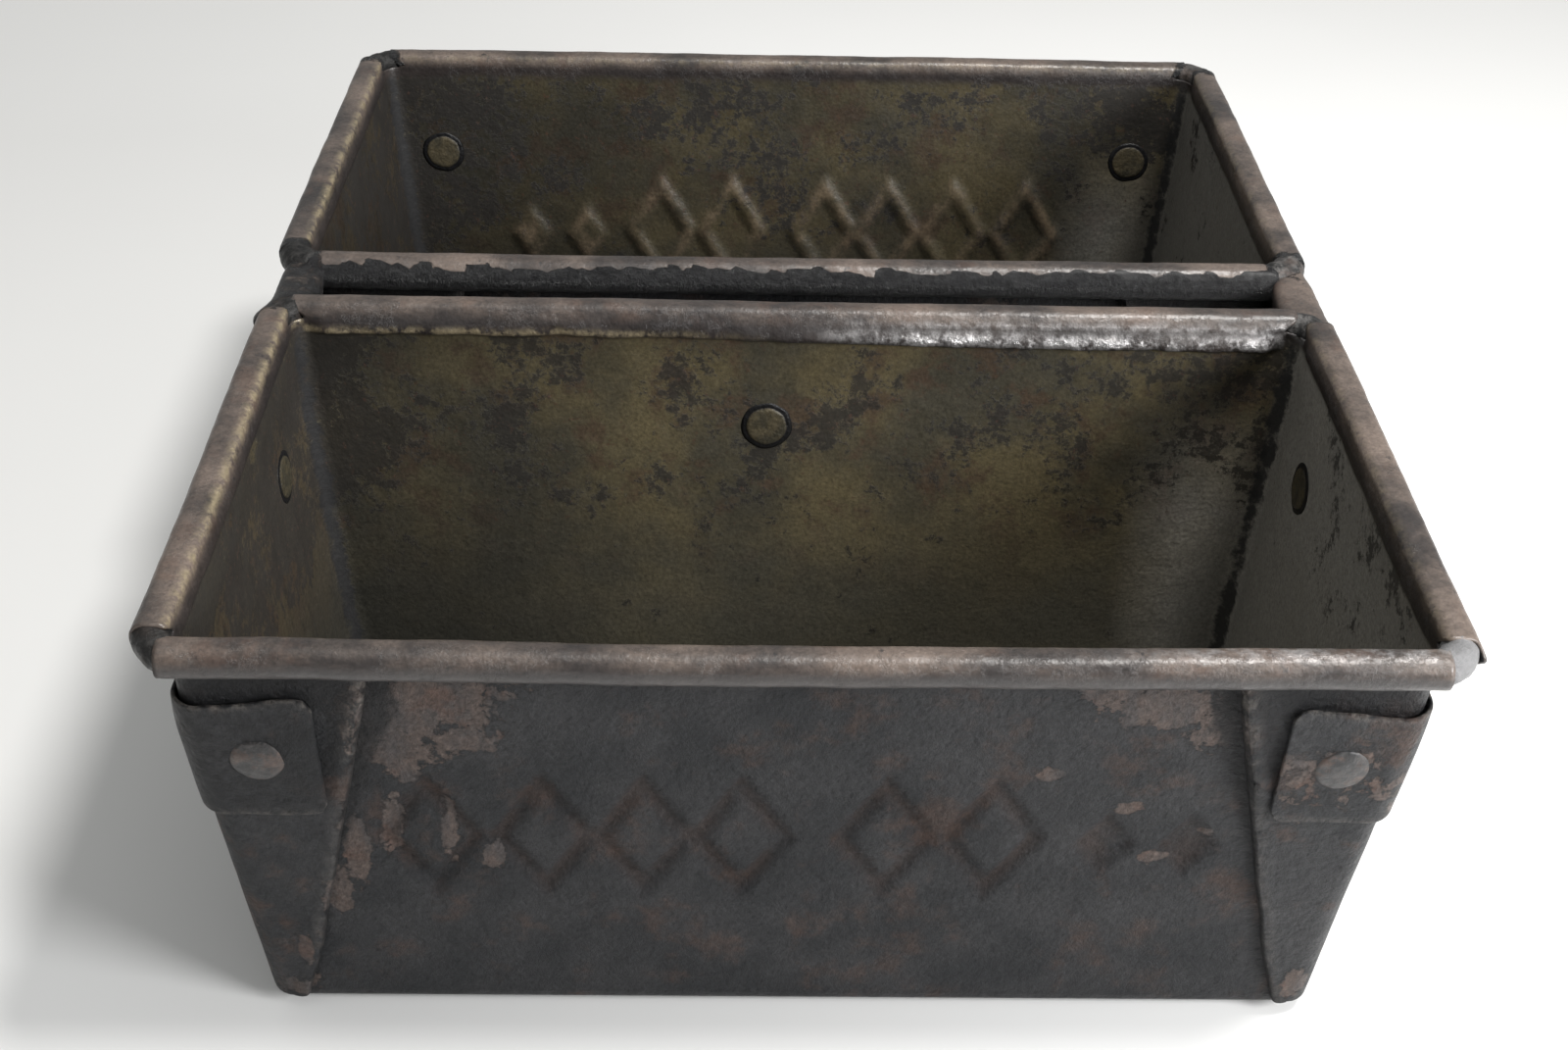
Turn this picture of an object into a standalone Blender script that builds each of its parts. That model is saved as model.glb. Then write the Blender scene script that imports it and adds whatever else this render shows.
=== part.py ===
"""A strapped pair of wired loaf tins, as a commercial bakery uses them.

Two tapered sheet-steel tins stand side by side. The rim of each is rolled over a
loop of wire, a flat strap holds the pair together round each end, and a short
channel joins them in the middle. Every fixing is a rivet, so nothing moves.

Metres, +Z up, the origin on the ground under the middle of the pair. The tins'
long sides run along X, and the front tin is the one at -Y.
"""

import math

import bmesh
import bpy
from mathutils import Vector

# Driving dimensions.
RIM_LENGTH = 0.241          # between the wire centres at a tin's two ends
RIM_WIDTH = 0.126           # between the wire centres at its two long sides
RIM_HEIGHT = 0.102          # of the wire's centre above the ground
PAN_PITCH = 0.146           # between the middles of the two tins
END_TAPER = 0.008           # how far an end wall leans in on its way down
SIDE_TAPER = 0.007          # the same for a long wall
SHEET = 0.0007              # thickness of the tins' sheet
GAP = 0.0003                # left between pieces that touch

# The rolled and wired rim.
WIRE_RADIUS = 0.0027
CURL_RADIUS = WIRE_RADIUS + GAP + SHEET
CURL_TURN = math.radians(300.0)
CURL_STEPS = 12
CURL_SETBACK = 0.010        # from a rim corner to the cut end of a roll

# The folded corners.
CORNER_RADIUS = 0.0045
CORNER_STEPS = 3
EAR_THICKNESS = 2.0 * SHEET
EAR_WIDTH = 0.033
EAR_TIP = 0.003
EAR_TOP_DROP = CURL_RADIUS + 0.001
EAR_BITE = 0.4 * SHEET      # how deep a fold starts inside the wall that it joins

# The straps and the channel, both at the same height.
BAND_TOP_DROP = 0.013       # below the wire's centre
BAND_BOTTOM_DROP = 0.041
STRAP_THICKNESS = 0.0013
TAB_END = 0.090             # from the middle of the tin to the end of a strap's tab
TAB_CORNER = 0.005
TIE_THICKNESS = 0.0010
TIE_LENGTH = 0.026
TIE_X = -0.0065             # the channel sits a little left of the middle
TIE_BEND = 0.003

# The rivets.
HEAD_RADIUS = 0.0050
INNER_HEAD_HEIGHT = 0.0008
OUTER_HEAD_HEIGHT = 0.0017
SHANK_RADIUS = 0.0022
RIVET_STEPS = 18
TAB_RIVET_X = 0.1015
TAB_RIVET_DROP = 0.026
END_RIVET_Y = 0.040
END_RIVET_DROP = 0.0265
TIE_RIVET_DROP = 0.027

END_SLOPE = END_TAPER / RIM_HEIGHT
SIDE_SLOPE = SIDE_TAPER / RIM_HEIGHT
UP = Vector((0.0, 0.0, 1.0))
SIDES = {"front": -1.0, "rear": 1.0}
ENDS = {"left": -1.0, "right": 1.0}


def half_length(z):
    """Half the distance between the inner faces of a tin's end walls at height z."""
    return RIM_LENGTH / 2 - CURL_RADIUS - END_SLOPE * (RIM_HEIGHT - z)


def half_width(z):
    """Half the distance between the inner faces of a tin's long walls at height z."""
    return RIM_WIDTH / 2 - CURL_RADIUS - SIDE_SLOPE * (RIM_HEIGHT - z)


def clear_scene():
    for old in list(bpy.data.objects):
        bpy.data.objects.remove(old, do_unlink=True)


def new_collection(name):
    collection = bpy.data.collections.new(name)
    bpy.context.scene.collection.children.link(collection)
    return collection


def steel(name, colour, roughness, metallic):
    material = bpy.data.materials.new(name)
    material.use_nodes = True
    shader = material.node_tree.nodes["Principled BSDF"]
    shader.inputs["Base Color"].default_value = (*colour, 1.0)
    shader.inputs["Roughness"].default_value = roughness
    shader.inputs["Metallic"].default_value = metallic
    return material


def object_from_bmesh(name, bm, collection):
    mesh = bpy.data.meshes.new(name)
    bm.to_mesh(mesh)
    bm.free()
    piece = bpy.data.objects.new(name, mesh)
    collection.objects.link(piece)
    return piece


def as_cutter(piece):
    piece.hide_render = True
    piece.display_type = "WIRE"
    return piece


def add_boolean(piece, operand, operation):
    modifier = piece.modifiers.new(f"{operation.lower()}_{operand.name}", "BOOLEAN")
    modifier.operation = operation
    modifier.solver = "EXACT"
    modifier.object = operand


def add_solidify(piece, thickness, offset):
    modifier = piece.modifiers.new("thickness", "SOLIDIFY")
    modifier.thickness = thickness
    modifier.offset = offset
    modifier.use_even_offset = True


def tapered_box(low, high, half_x, half_y):
    """A cube reshaped so that half_x(z) and half_y(z) give its walls at both heights."""
    bm = bmesh.new()
    bmesh.ops.create_cube(bm, size=2.0)
    for vertex in bm.verts:
        z = high if vertex.co.z > 0 else low
        x = math.copysign(half_x(z), vertex.co.x)
        y = math.copysign(half_y(z), vertex.co.y)
        vertex.co = (x, y, z)
    bm.normal_update()
    return bm


def keep_faces(bm, wanted):
    """Delete every face for which wanted(normal) is false, with its loose edges."""
    spare = [face for face in bm.faces if not wanted(face.normal)]
    bmesh.ops.delete(bm, geom=spare, context="FACES")


def round_folds(bm, radius):
    folds = [edge for edge in bm.edges if len(edge.link_faces) == 2]
    bmesh.ops.bevel(
        bm, geom=folds, offset=radius, offset_type="OFFSET", segments=CORNER_STEPS,
        profile=0.5, affect="EDGES", clamp_overlap=True,
    )


def roll_edge(bm, edge, outward):
    """Roll one straight rim edge over the wire that runs alongside it."""
    along = 0 if abs(outward.x) < 0.5 else 1
    reach = (RIM_LENGTH if along == 0 else RIM_WIDTH) / 2 - CURL_SETBACK
    first, last = sorted(edge.verts, key=lambda vertex: vertex.co[along])
    span = last.co[along] - first.co[along]
    cut = (-reach - first.co[along]) / span
    middle, start = bmesh.utils.edge_split(edge, first, cut)
    rolled = next(item for item in start.link_edges if last in item.verts)
    cut = (reach - start.co[along]) / (last.co[along] - start.co[along])
    tail, end = bmesh.utils.edge_split(rolled, start, cut)
    rolled = next(item for item in start.link_edges if end in item.verts)
    rim_reach = (RIM_WIDTH if along == 0 else RIM_LENGTH) / 2
    bmesh.ops.spin(
        bm, geom=[rolled], cent=outward * rim_reach + UP * RIM_HEIGHT,
        axis=UP.cross(outward), angle=CURL_TURN, steps=CURL_STEPS,
    )


def tin_surface():
    """The sheet's exposed face: floor, four walls, and the roll along each wall."""
    bm = tapered_box(SHEET, RIM_HEIGHT, half_length, half_width)
    keep_faces(bm, lambda normal: normal.z < 0.5)
    round_folds(bm, CORNER_RADIUS)
    for vertex in bm.verts:
        if vertex.co.z > RIM_HEIGHT - CORNER_RADIUS / 2:
            vertex.co.z = RIM_HEIGHT
    for outward in (Vector((1, 0, 0)), Vector((-1, 0, 0)), Vector((0, 1, 0)), Vector((0, -1, 0))):
        rim = [edge for edge in bm.edges if edge.is_boundary and edge.calc_length() > 0.05]
        edge = max(rim, key=lambda item: (item.verts[0].co + item.verts[1].co).dot(outward))
        roll_edge(bm, edge, outward)
    bmesh.ops.recalc_face_normals(bm, faces=bm.faces)
    bm.normal_update()
    floor = min(bm.faces, key=lambda face: face.calc_center_median().z)
    if floor.normal.z < 0:
        bmesh.ops.reverse_faces(bm, faces=bm.faces)
    return bm


def wall_point(pan_y, side, x, drop):
    """A point on the inner face of a tin's long wall, and that wall's outward normal."""
    z = RIM_HEIGHT - drop
    point = Vector((x, pan_y + side * half_width(z), z))
    return point, Vector((0.0, side, -SIDE_SLOPE)).normalized()


def end_point(end, y, drop):
    """A point on the inner face of an end wall, and that wall's outward normal."""
    z = RIM_HEIGHT - drop
    return Vector((end * half_length(z), y, z)), Vector((end, 0.0, -END_SLOPE)).normalized()


def solid_from_curve(name, outline, thickness, matrix, collection):
    """A flat closed outline given a thickness, as a welded mesh with a matrix of its own."""
    curve = bpy.data.curves.new(name, "CURVE")
    curve.dimensions = "2D"
    curve.fill_mode = "BOTH"
    curve.extrude = thickness / 2
    spline = curve.splines.new("POLY")
    spline.points.add(len(outline) - 1)
    for point, (x, y) in zip(spline.points, outline):
        point.co = (x, y, 0.0, 1.0)
    spline.use_cyclic_u = True
    drawn = bpy.data.objects.new(name + "_outline", curve)
    collection.objects.link(drawn)
    drawn.matrix_world = matrix
    bpy.context.view_layer.update()
    evaluated = drawn.evaluated_get(bpy.context.evaluated_depsgraph_get())
    mesh = bpy.data.meshes.new_from_object(evaluated)
    bm = bmesh.new()
    bm.from_mesh(mesh)
    bmesh.ops.remove_doubles(bm, verts=bm.verts, dist=1e-6)
    bmesh.ops.recalc_face_normals(bm, faces=bm.faces)
    bm.to_mesh(mesh)
    bm.free()
    solid = bpy.data.objects.new(name, mesh)
    collection.objects.link(solid)
    solid.matrix_world = matrix
    bpy.data.objects.remove(drawn, do_unlink=True)
    return solid


def folded_ear(name, pan_y, side, end, cutters):
    """The doubled triangle of sheet that a folded corner leaves on the long wall."""
    top = RIM_HEIGHT - EAR_TOP_DROP
    tip = SHEET + CORNER_RADIUS
    outer_top = half_length(top) - CORNER_RADIUS
    outer_tip = half_length(tip) - CORNER_RADIUS
    lean = math.hypot(1.0, SIDE_SLOPE)
    outline = [
        (end * outer_top, (top - tip) * lean),
        (end * (outer_top - EAR_WIDTH), (top - tip) * lean),
        (end * (outer_tip - EAR_TIP), 0.0),
        (end * outer_tip, 0.0),
    ]
    base, normal = wall_point(pan_y, side, 0.0, RIM_HEIGHT - tip)
    across = Vector((1.0, 0.0, 0.0))
    upward = Vector((0.0, side * SIDE_SLOPE, 1.0)).normalized()
    facing = across.cross(upward)
    matrix = base.to_track_quat("Z", "Y").to_matrix().to_4x4()
    for row in range(3):
        matrix[row][0] = across[row]
        matrix[row][1] = upward[row]
        matrix[row][2] = facing[row]
    thickness = SHEET + EAR_THICKNESS - EAR_BITE
    matrix.translation = base + normal * (EAR_BITE + thickness / 2)
    return as_cutter(solid_from_curve(name, outline, thickness, matrix, cutters))


def rivet_hole(name, point, normal, cutters):
    bm = bmesh.new()
    bmesh.ops.create_cone(
        bm, cap_ends=True, segments=RIVET_STEPS, radius1=SHANK_RADIUS + GAP,
        radius2=SHANK_RADIUS + GAP, depth=0.016,
    )
    hole = as_cutter(object_from_bmesh(name, bm, cutters))
    hole.location = point
    hole.rotation_mode = "QUATERNION"
    hole.rotation_quaternion = normal.to_track_quat("Z", "Y")
    return hole


def rivet(name, point, normal, grip, material, parts):
    """A turned rivet through a stack of thickness grip that starts at point."""
    top = grip + GAP
    profile = [
        (0.0, top + OUTER_HEAD_HEIGHT),
        (0.45 * HEAD_RADIUS, top + 0.85 * OUTER_HEAD_HEIGHT),
        (0.80 * HEAD_RADIUS, top + 0.50 * OUTER_HEAD_HEIGHT),
        (0.94 * HEAD_RADIUS, top),
        (SHANK_RADIUS, top),
        (SHANK_RADIUS, -GAP),
        (HEAD_RADIUS, -GAP),
        (0.88 * HEAD_RADIUS, -GAP - INNER_HEAD_HEIGHT),
        (0.0, -GAP - INNER_HEAD_HEIGHT),
    ]
    mesh = bpy.data.meshes.new(name)
    edges = [(index, index + 1) for index in range(len(profile) - 1)]
    mesh.from_pydata([(radius, 0.0, height) for radius, height in profile], edges, [])
    piece = bpy.data.objects.new(name, mesh)
    parts.objects.link(piece)
    piece.location = point
    piece.rotation_mode = "QUATERNION"
    piece.rotation_quaternion = normal.to_track_quat("Z", "Y")
    screw = piece.modifiers.new("turn", "SCREW")
    screw.axis = "Z"
    screw.angle = math.tau
    screw.steps = RIVET_STEPS
    screw.render_steps = RIVET_STEPS
    screw.use_merge_vertices = True
    screw.merge_threshold = 0.00001
    screw.use_smooth_shade = True
    piece.data.materials.append(material)
    return piece


def pan(name, pan_y, holes, material, parts, cutters):
    """One tin: sheet, rolled rim and four folded corners, drilled for its rivets."""
    piece = object_from_bmesh(name, tin_surface(), parts)
    piece.location.y = pan_y
    add_solidify(piece, SHEET, -1.0)
    for side_name, side in SIDES.items():
        for end_name, end in ENDS.items():
            ear = folded_ear(f"{name}_ear_{side_name}_{end_name}", pan_y, side, end, cutters)
            add_boolean(piece, ear, "UNION")
    for hole in holes:
        add_boolean(piece, hole, "DIFFERENCE")
    piece.data.materials.append(material)
    return piece


def rounded_rectangle(half_x, half_y, radius, steps):
    """Points round a rectangle whose corners are arcs, anticlockwise."""
    points = []
    for quarter, (sign_x, sign_y) in enumerate(((1, 1), (-1, 1), (-1, -1), (1, -1))):
        for step in range(steps + 1):
            angle = math.radians(90.0 * (quarter + step / steps))
            x = sign_x * (half_x - radius) + radius * math.cos(angle)
            y = sign_y * (half_y - radius) + radius * math.sin(angle)
            points.append((x, y))
    return points


def rim_wire(name, pan_y, material, parts):
    """The closed loop of wire inside a tin's rolled rim, bare at the corners."""
    curve = bpy.data.curves.new(name, "CURVE")
    curve.dimensions = "3D"
    curve.bevel_depth = WIRE_RADIUS
    curve.bevel_resolution = 3
    spline = curve.splines.new("POLY")
    path = rounded_rectangle(RIM_LENGTH / 2, RIM_WIDTH / 2, CORNER_RADIUS + CURL_RADIUS, 6)
    spline.points.add(len(path) - 1)
    for point, (x, y) in zip(spline.points, path):
        point.co = (x, y, 0.0, 1.0)
    spline.use_cyclic_u = True
    piece = bpy.data.objects.new(name, curve)
    piece.location = (0.0, pan_y, RIM_HEIGHT)
    parts.objects.link(piece)
    piece.data.materials.append(material)
    return piece


def strap(name, end, holes, material, parts):
    """A flat band round one end of the pair, with a tab on each outer long wall."""
    def outer_x(z):
        return half_length(z) + SHEET + GAP

    def outer_y(z):
        return PAN_PITCH / 2 + half_width(z) + SHEET + EAR_THICKNESS + GAP

    low = RIM_HEIGHT - BAND_BOTTOM_DROP
    high = RIM_HEIGHT - BAND_TOP_DROP
    bm = tapered_box(low, high, outer_x, outer_y)
    keep_faces(bm, lambda normal: abs(normal.z) < 0.5 and normal.x * end > -0.5)
    for vertex in bm.verts:
        if vertex.co.x * end < 0:
            vertex.co.x = end * TAB_END
    round_folds(bm, CORNER_RADIUS + SHEET + GAP)
    tab_corners = [vertex for vertex in bm.verts if abs(vertex.co.x - end * TAB_END) < 1e-6]
    bmesh.ops.bevel(
        bm, geom=tab_corners, offset=TAB_CORNER, offset_type="OFFSET",
        segments=CORNER_STEPS, profile=0.5, affect="VERTICES",
    )
    piece = object_from_bmesh(name, bm, parts)
    add_solidify(piece, STRAP_THICKNESS, 1.0)
    for hole in holes:
        add_boolean(piece, hole, "DIFFERENCE")
    piece.data.materials.append(material)
    return piece


def centre_tie(name, holes, material, parts):
    """The channel between the tins: a flange against each wall, joined underneath."""
    def reach_y(z):
        return PAN_PITCH / 2 - half_width(z) - SHEET - GAP

    low = RIM_HEIGHT - BAND_BOTTOM_DROP
    high = RIM_HEIGHT - BAND_TOP_DROP
    bm = tapered_box(low, high, lambda z: TIE_LENGTH / 2, reach_y)
    keep_faces(bm, lambda normal: abs(normal.x) < 0.5 and normal.z < 0.5)
    round_folds(bm, TIE_BEND)
    piece = object_from_bmesh(name, bm, parts)
    piece.location.x = TIE_X
    add_solidify(piece, TIE_THICKNESS, -1.0)
    for hole in holes:
        add_boolean(piece, hole, "DIFFERENCE")
    piece.data.materials.append(material)
    return piece


def build():
    clear_scene()
    parts = new_collection("strapped_loaf_tins")
    cutters = new_collection("cutters")
    black = steel("baked_black_sheet", (0.045, 0.042, 0.042), 0.6, 0.5)
    worn = steel("encrusted_wire", (0.05, 0.047, 0.048), 0.65, 0.6)
    band = steel("strap_steel", (0.06, 0.055, 0.055), 0.55, 0.5)
    stud = steel("rivet_steel", (0.06, 0.05, 0.045), 0.5, 0.6)

    tab_grip = SHEET + EAR_THICKNESS + GAP + STRAP_THICKNESS
    end_grip = SHEET + GAP + STRAP_THICKNESS
    tie_grip = SHEET + GAP + TIE_THICKNESS
    pan_holes = {side_name: [] for side_name in SIDES}
    strap_holes = {end_name: [] for end_name in ENDS}
    tie_holes = []

    for side_name, side in SIDES.items():
        pan_y = side * PAN_PITCH / 2
        for end_name, end in ENDS.items():
            name = f"{side_name}_{end_name}"
            point, normal = wall_point(pan_y, side, end * TAB_RIVET_X, TAB_RIVET_DROP)
            rivet(f"tab_rivet_{name}", point, normal, tab_grip, stud, parts)
            hole = rivet_hole(f"tab_hole_{name}", point, normal, cutters)
            pan_holes[side_name].append(hole)
            strap_holes[end_name].append(hole)
            point, normal = end_point(end, side * END_RIVET_Y, END_RIVET_DROP)
            rivet(f"end_rivet_{name}", point, normal, end_grip, stud, parts)
            hole = rivet_hole(f"end_hole_{name}", point, normal, cutters)
            pan_holes[side_name].append(hole)
            strap_holes[end_name].append(hole)
        point, normal = wall_point(pan_y, -side, TIE_X, TIE_RIVET_DROP)
        rivet(f"tie_rivet_{side_name}", point, normal, tie_grip, stud, parts)
        hole = rivet_hole(f"tie_hole_{side_name}", point, normal, cutters)
        pan_holes[side_name].append(hole)
        tie_holes.append(hole)

    for side_name, side in SIDES.items():
        pan_y = side * PAN_PITCH / 2
        pan(f"{side_name}_pan", pan_y, pan_holes[side_name], black, parts, cutters)
        rim_wire(f"{side_name}_rim_wire", pan_y, worn, parts)
    for end_name, end in ENDS.items():
        strap(f"{end_name}_strap", end, strap_holes[end_name], band, parts)
    centre_tie("centre_tie", tie_holes, band, parts)


build()
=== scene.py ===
"""The looks of a strapped pair of wired loaf tins, black with years of baked-on carbon."""

import math
from collections import namedtuple

import bmesh
import bpy
import numpy as np
from mathutils import Matrix, Vector, noise


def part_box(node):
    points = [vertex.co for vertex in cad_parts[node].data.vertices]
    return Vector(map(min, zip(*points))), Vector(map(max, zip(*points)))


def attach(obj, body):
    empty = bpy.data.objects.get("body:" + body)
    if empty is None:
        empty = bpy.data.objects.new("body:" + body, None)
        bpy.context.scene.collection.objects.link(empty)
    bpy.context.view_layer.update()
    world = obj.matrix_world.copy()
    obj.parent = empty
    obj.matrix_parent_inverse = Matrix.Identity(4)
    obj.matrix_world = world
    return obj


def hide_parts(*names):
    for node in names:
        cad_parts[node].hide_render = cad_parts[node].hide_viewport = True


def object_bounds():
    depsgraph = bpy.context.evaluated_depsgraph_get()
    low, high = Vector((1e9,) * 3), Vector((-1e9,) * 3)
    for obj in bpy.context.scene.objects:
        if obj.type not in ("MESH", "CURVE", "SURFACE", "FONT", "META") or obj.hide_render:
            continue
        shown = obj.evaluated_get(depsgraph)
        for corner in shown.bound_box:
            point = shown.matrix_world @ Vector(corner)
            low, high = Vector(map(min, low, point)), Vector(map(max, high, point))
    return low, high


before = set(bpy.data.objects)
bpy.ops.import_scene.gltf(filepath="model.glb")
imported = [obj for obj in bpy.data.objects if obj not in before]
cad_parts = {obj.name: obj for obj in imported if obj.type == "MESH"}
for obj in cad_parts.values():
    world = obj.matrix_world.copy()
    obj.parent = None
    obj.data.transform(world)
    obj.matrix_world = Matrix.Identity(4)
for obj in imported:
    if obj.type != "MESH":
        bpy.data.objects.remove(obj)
cad_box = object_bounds()

# ---------------------------------------------------------------- sizes, in metres

MM = 0.001
SHEET = 0.7 * MM            # thickness of the tins' sheet
WIRE_RADIUS = 2.7 * MM
CURL_RADIUS = 3.7 * MM      # outside of the rolled rim
END_TAPER = 8.0 * MM        # how far an end wall leans in on its way down
SIDE_TAPER = 7.0 * MM       # the same for a long wall
CORNER_RADIUS = 4.5 * MM
FILLET = 3.5 * MM           # between the floor and the walls
EAR_THICKNESS = 1.4 * MM    # of the doubled sheet that a folded corner leaves
GAP = 0.3 * MM
BAND_THICKNESS = 0.91 * MM  # thinner than the CAD's straps, as in the photograph
TIE_THICKNESS = 1.0 * MM
HEAD_RADIUS = 5.0 * MM

FRONT_LOW, FRONT_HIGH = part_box("front_pan")
WIRE_LOW, WIRE_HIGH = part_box("front_rim_wire")
STRAP_LOW, STRAP_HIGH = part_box("left_strap")
TIE_LOW, TIE_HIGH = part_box("centre_tie")
RIM_HALF_LENGTH = FRONT_HIGH[0] - CURL_RADIUS
RIM_HALF_WIDTH = (FRONT_HIGH[1] - FRONT_LOW[1]) / 2 - CURL_RADIUS
RIM_HEIGHT = (WIRE_LOW[2] + WIRE_HIGH[2]) / 2
PAN_Y = {name: sum(corner[1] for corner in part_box(f"{name}_pan")) / 2 for name in ("front", "rear")}
OUTWARD = {"front": -1.0, "rear": 1.0}
ENDS = {"left": -1.0, "right": 1.0}
SEEDS = {"front": 11.3, "rear": 47.9}
TOP_LIMIT = cad_box[1][2] - 0.02 * MM
BAND_LOW, BAND_HIGH = STRAP_LOW[2], STRAP_HIGH[2]
TAB_END = -STRAP_HIGH[0]
GAP_RIM_Y = PAN_Y["rear"] - RIM_HALF_WIDTH      # of the wire centres either side of the gap


def middle_of(node):
    low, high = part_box(node)
    return (Vector(low) + Vector(high)) / 2


def half_length(z):
    """Half the distance between the inner faces of a tin's end walls at height z."""
    return RIM_HALF_LENGTH - CURL_RADIUS - END_TAPER * (RIM_HEIGHT - z) / RIM_HEIGHT


def half_width(z):
    """Half the distance between the inner faces of a tin's long walls at height z."""
    return RIM_HALF_WIDTH - CURL_RADIUS - SIDE_TAPER * (RIM_HEIGHT - z) / RIM_HEIGHT


# ---------------------------------------------------------------- helpers for shape

def wave(x, y, z, size, seed=0.0):
    """Smooth noise between about -1 and 1 whose bumps are size metres across."""
    return noise.noise(Vector((x / size + seed, y / size - 1.7 * seed, z / size + 0.6 * seed)))


def lumps(x, y, z, size, seed=0.0):
    """Rough noise around 0.5, for crust."""
    place = Vector((x / size + seed, y / size + seed, z / size - seed))
    return noise.fractal(place, 0.8, 2.1, 3) * 0.5 + 0.5


def smooth(low, high, value):
    t = min(1.0, max(0.0, (value - low) / (high - low)))
    return t * t * (3.0 - 2.0 * t)


def hump(value, centre, reach):
    """1 at the centre, falling to little beyond reach, for one number."""
    return math.exp(-((value - centre) / reach) ** 2)


def fade(distances, reach):
    """1 where a distance is 0, falling to little beyond reach, for whole arrays."""
    return np.exp(-(distances / reach) ** 2)


def share(values):
    return np.clip(values, 0, 1)


def mesh_object(name, points, faces):
    mesh = bpy.data.meshes.new(name)
    mesh.from_pydata([tuple(point) for point in points], [], faces)
    piece = bpy.data.objects.new(name, mesh)
    bpy.context.scene.collection.objects.link(piece)
    return piece


def tidy_mesh(piece, outward=True):
    """Weld doubled points, drop loose ones and turn the faces outward."""
    bm = bmesh.new()
    bm.from_mesh(piece.data)
    bmesh.ops.remove_doubles(bm, verts=bm.verts, dist=1e-6)
    loose = [vertex for vertex in bm.verts if not vertex.link_faces]
    bmesh.ops.delete(bm, geom=loose, context="VERTS")
    bmesh.ops.dissolve_degenerate(bm, edges=bm.edges, dist=1e-7)
    if outward:
        bmesh.ops.recalc_face_normals(bm, faces=bm.faces)
    bm.to_mesh(piece.data)
    bm.free()
    piece.data.shade_smooth()


def paint(piece, name, values):
    """Keep a number for each point on the mesh, for its material to read."""
    layer = piece.data.attributes.new(name, "FLOAT", "POINT")
    layer.data.foreach_set("value", np.asarray(values, dtype=np.float32))


def turn_sheet(piece, face, way):
    """Turn a sheet over if that face of it looks the other way."""
    if face.normal.dot(Vector(way)) < 0:
        piece.data.flip_normals()


def solidify(piece, thickness, offset, second_slot=0):
    modifier = piece.modifiers.new("thickness", "SOLIDIFY")
    modifier.thickness = thickness
    modifier.offset = offset
    modifier.material_offset = second_slot


def soften(piece, width, angle=50.0):
    modifier = piece.modifiers.new("edges", "BEVEL")
    modifier.width = width
    modifier.segments = 3
    modifier.limit_method = "ANGLE"
    modifier.angle_limit = math.radians(angle)


def loft(name, sections, ring=False):
    """A skin over closed sections of equally many points, capped unless it is a ring."""
    count = len(sections[0])
    points = [point for section in sections for point in section]
    faces = []
    for row in range(len(sections) if ring else len(sections) - 1):
        after = (row + 1) % len(sections)
        for index in range(count):
            turn = (index + 1) % count
            faces.append((row * count + index, row * count + turn,
                          after * count + turn, after * count + index))
    if not ring:
        last = (len(sections) - 1) * count
        faces.append(tuple(range(count)))
        faces.append(tuple(last + index for index in range(count)))
    return mesh_object(name, points, faces)


def grid(name, columns):
    """An open surface over columns of equally many points."""
    rows = len(columns[0])
    points = [point for column in columns for point in column]
    faces = []
    for index in range(len(columns) - 1):
        for row in range(rows - 1):
            start = index * rows + row
            faces.append((start, start + rows, start + rows + 1, start + 1))
    return mesh_object(name, points, faces)


def place_piece(piece, node, slot, *materials):
    """Let a finished piece stand for its CAD node, with its finish."""
    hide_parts(node)
    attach(piece, "root")
    for material in materials:
        piece.data.materials.append(material)


# ---------------------------------------------------------------- the tins

LONG_STEP = 1.4 * MM        # between columns on a long wall
END_STEP = 1.8 * MM         # and on an end wall
FINE_STEP = 0.7 * MM        # near a corner
FINE_REACH = 9.8 * MM
CORNER_STEPS = 6
FLOOR_ROWS = 14
EAR_ROWS = 70
EAR_STEPS = 16              # across an ear's flat
EAR_BITE = 0.4 * SHEET      # how deep an ear starts inside the wall that it lies on
FOLD_RADIUS = 0.9 * MM      # of an ear's free edge
FOLD_STEPS = 5
BLOB = 2.4 * MM             # of crust, on the front right ear's edge
ARC_STEPS = 8               # round a tin's corner, for ears and straps
FILLET_ROWS = 5
WALL_ROWS = 76
FINE_ROWS = 18              # of those, in the top of the wall
FINE_HEIGHT = 8.0 * MM
CURL_ROWS = 22
CURL_TURN = math.radians(305.0)
CURL_START = math.radians(115.0)    # of the turn, right at a roll's cut end
FLOOR_LIFT = 0.30 * MM      # of a floor's middle
ROLL_STRETCH = 3.0 * MM     # how far a roll's cut end slants towards its corner
HANGING_CRUST = 1.5 * MM    # under the rear tin's roll beside the gap
FLAP_REACH = 1.8 * MM       # how far the tip at the front of the right rim sticks out
FLAP_LIFT = 0.6 * MM        # and how far it stands off
QUARTERS = ((0, -1), (1, 0), (0, 1), (-1, 0))

RIM_INSET = 0.38 * MM       # what keeps a bowed rim inside the CAD's box
RIM_SINK = 0.45 * MM
FRONT_DIP = 0.6 * MM        # of the foremost rim, left of its middle

# A bead under a roll: how far it swells inward, and how far below the wire it ends.
GAP_BEAD = (1.2 * MM, 3.2 * MM)         # under the front tin's roll beside the gap
GAP_BEAD_MORE = (1.1 * MM, 1.0 * MM)    # more of both at its right end
END_BEAD = (0.5 * MM, 2.2 * MM)
NO_BEAD = (0.0, 1.0 * MM)

# How far the front tin's end rims are knocked in: all along, and further towards the front.
LEFT_KNOCK = (1.5 * MM, 0.7 * MM)
RIGHT_KNOCK = (0.1 * MM, 0.9 * MM)

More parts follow.
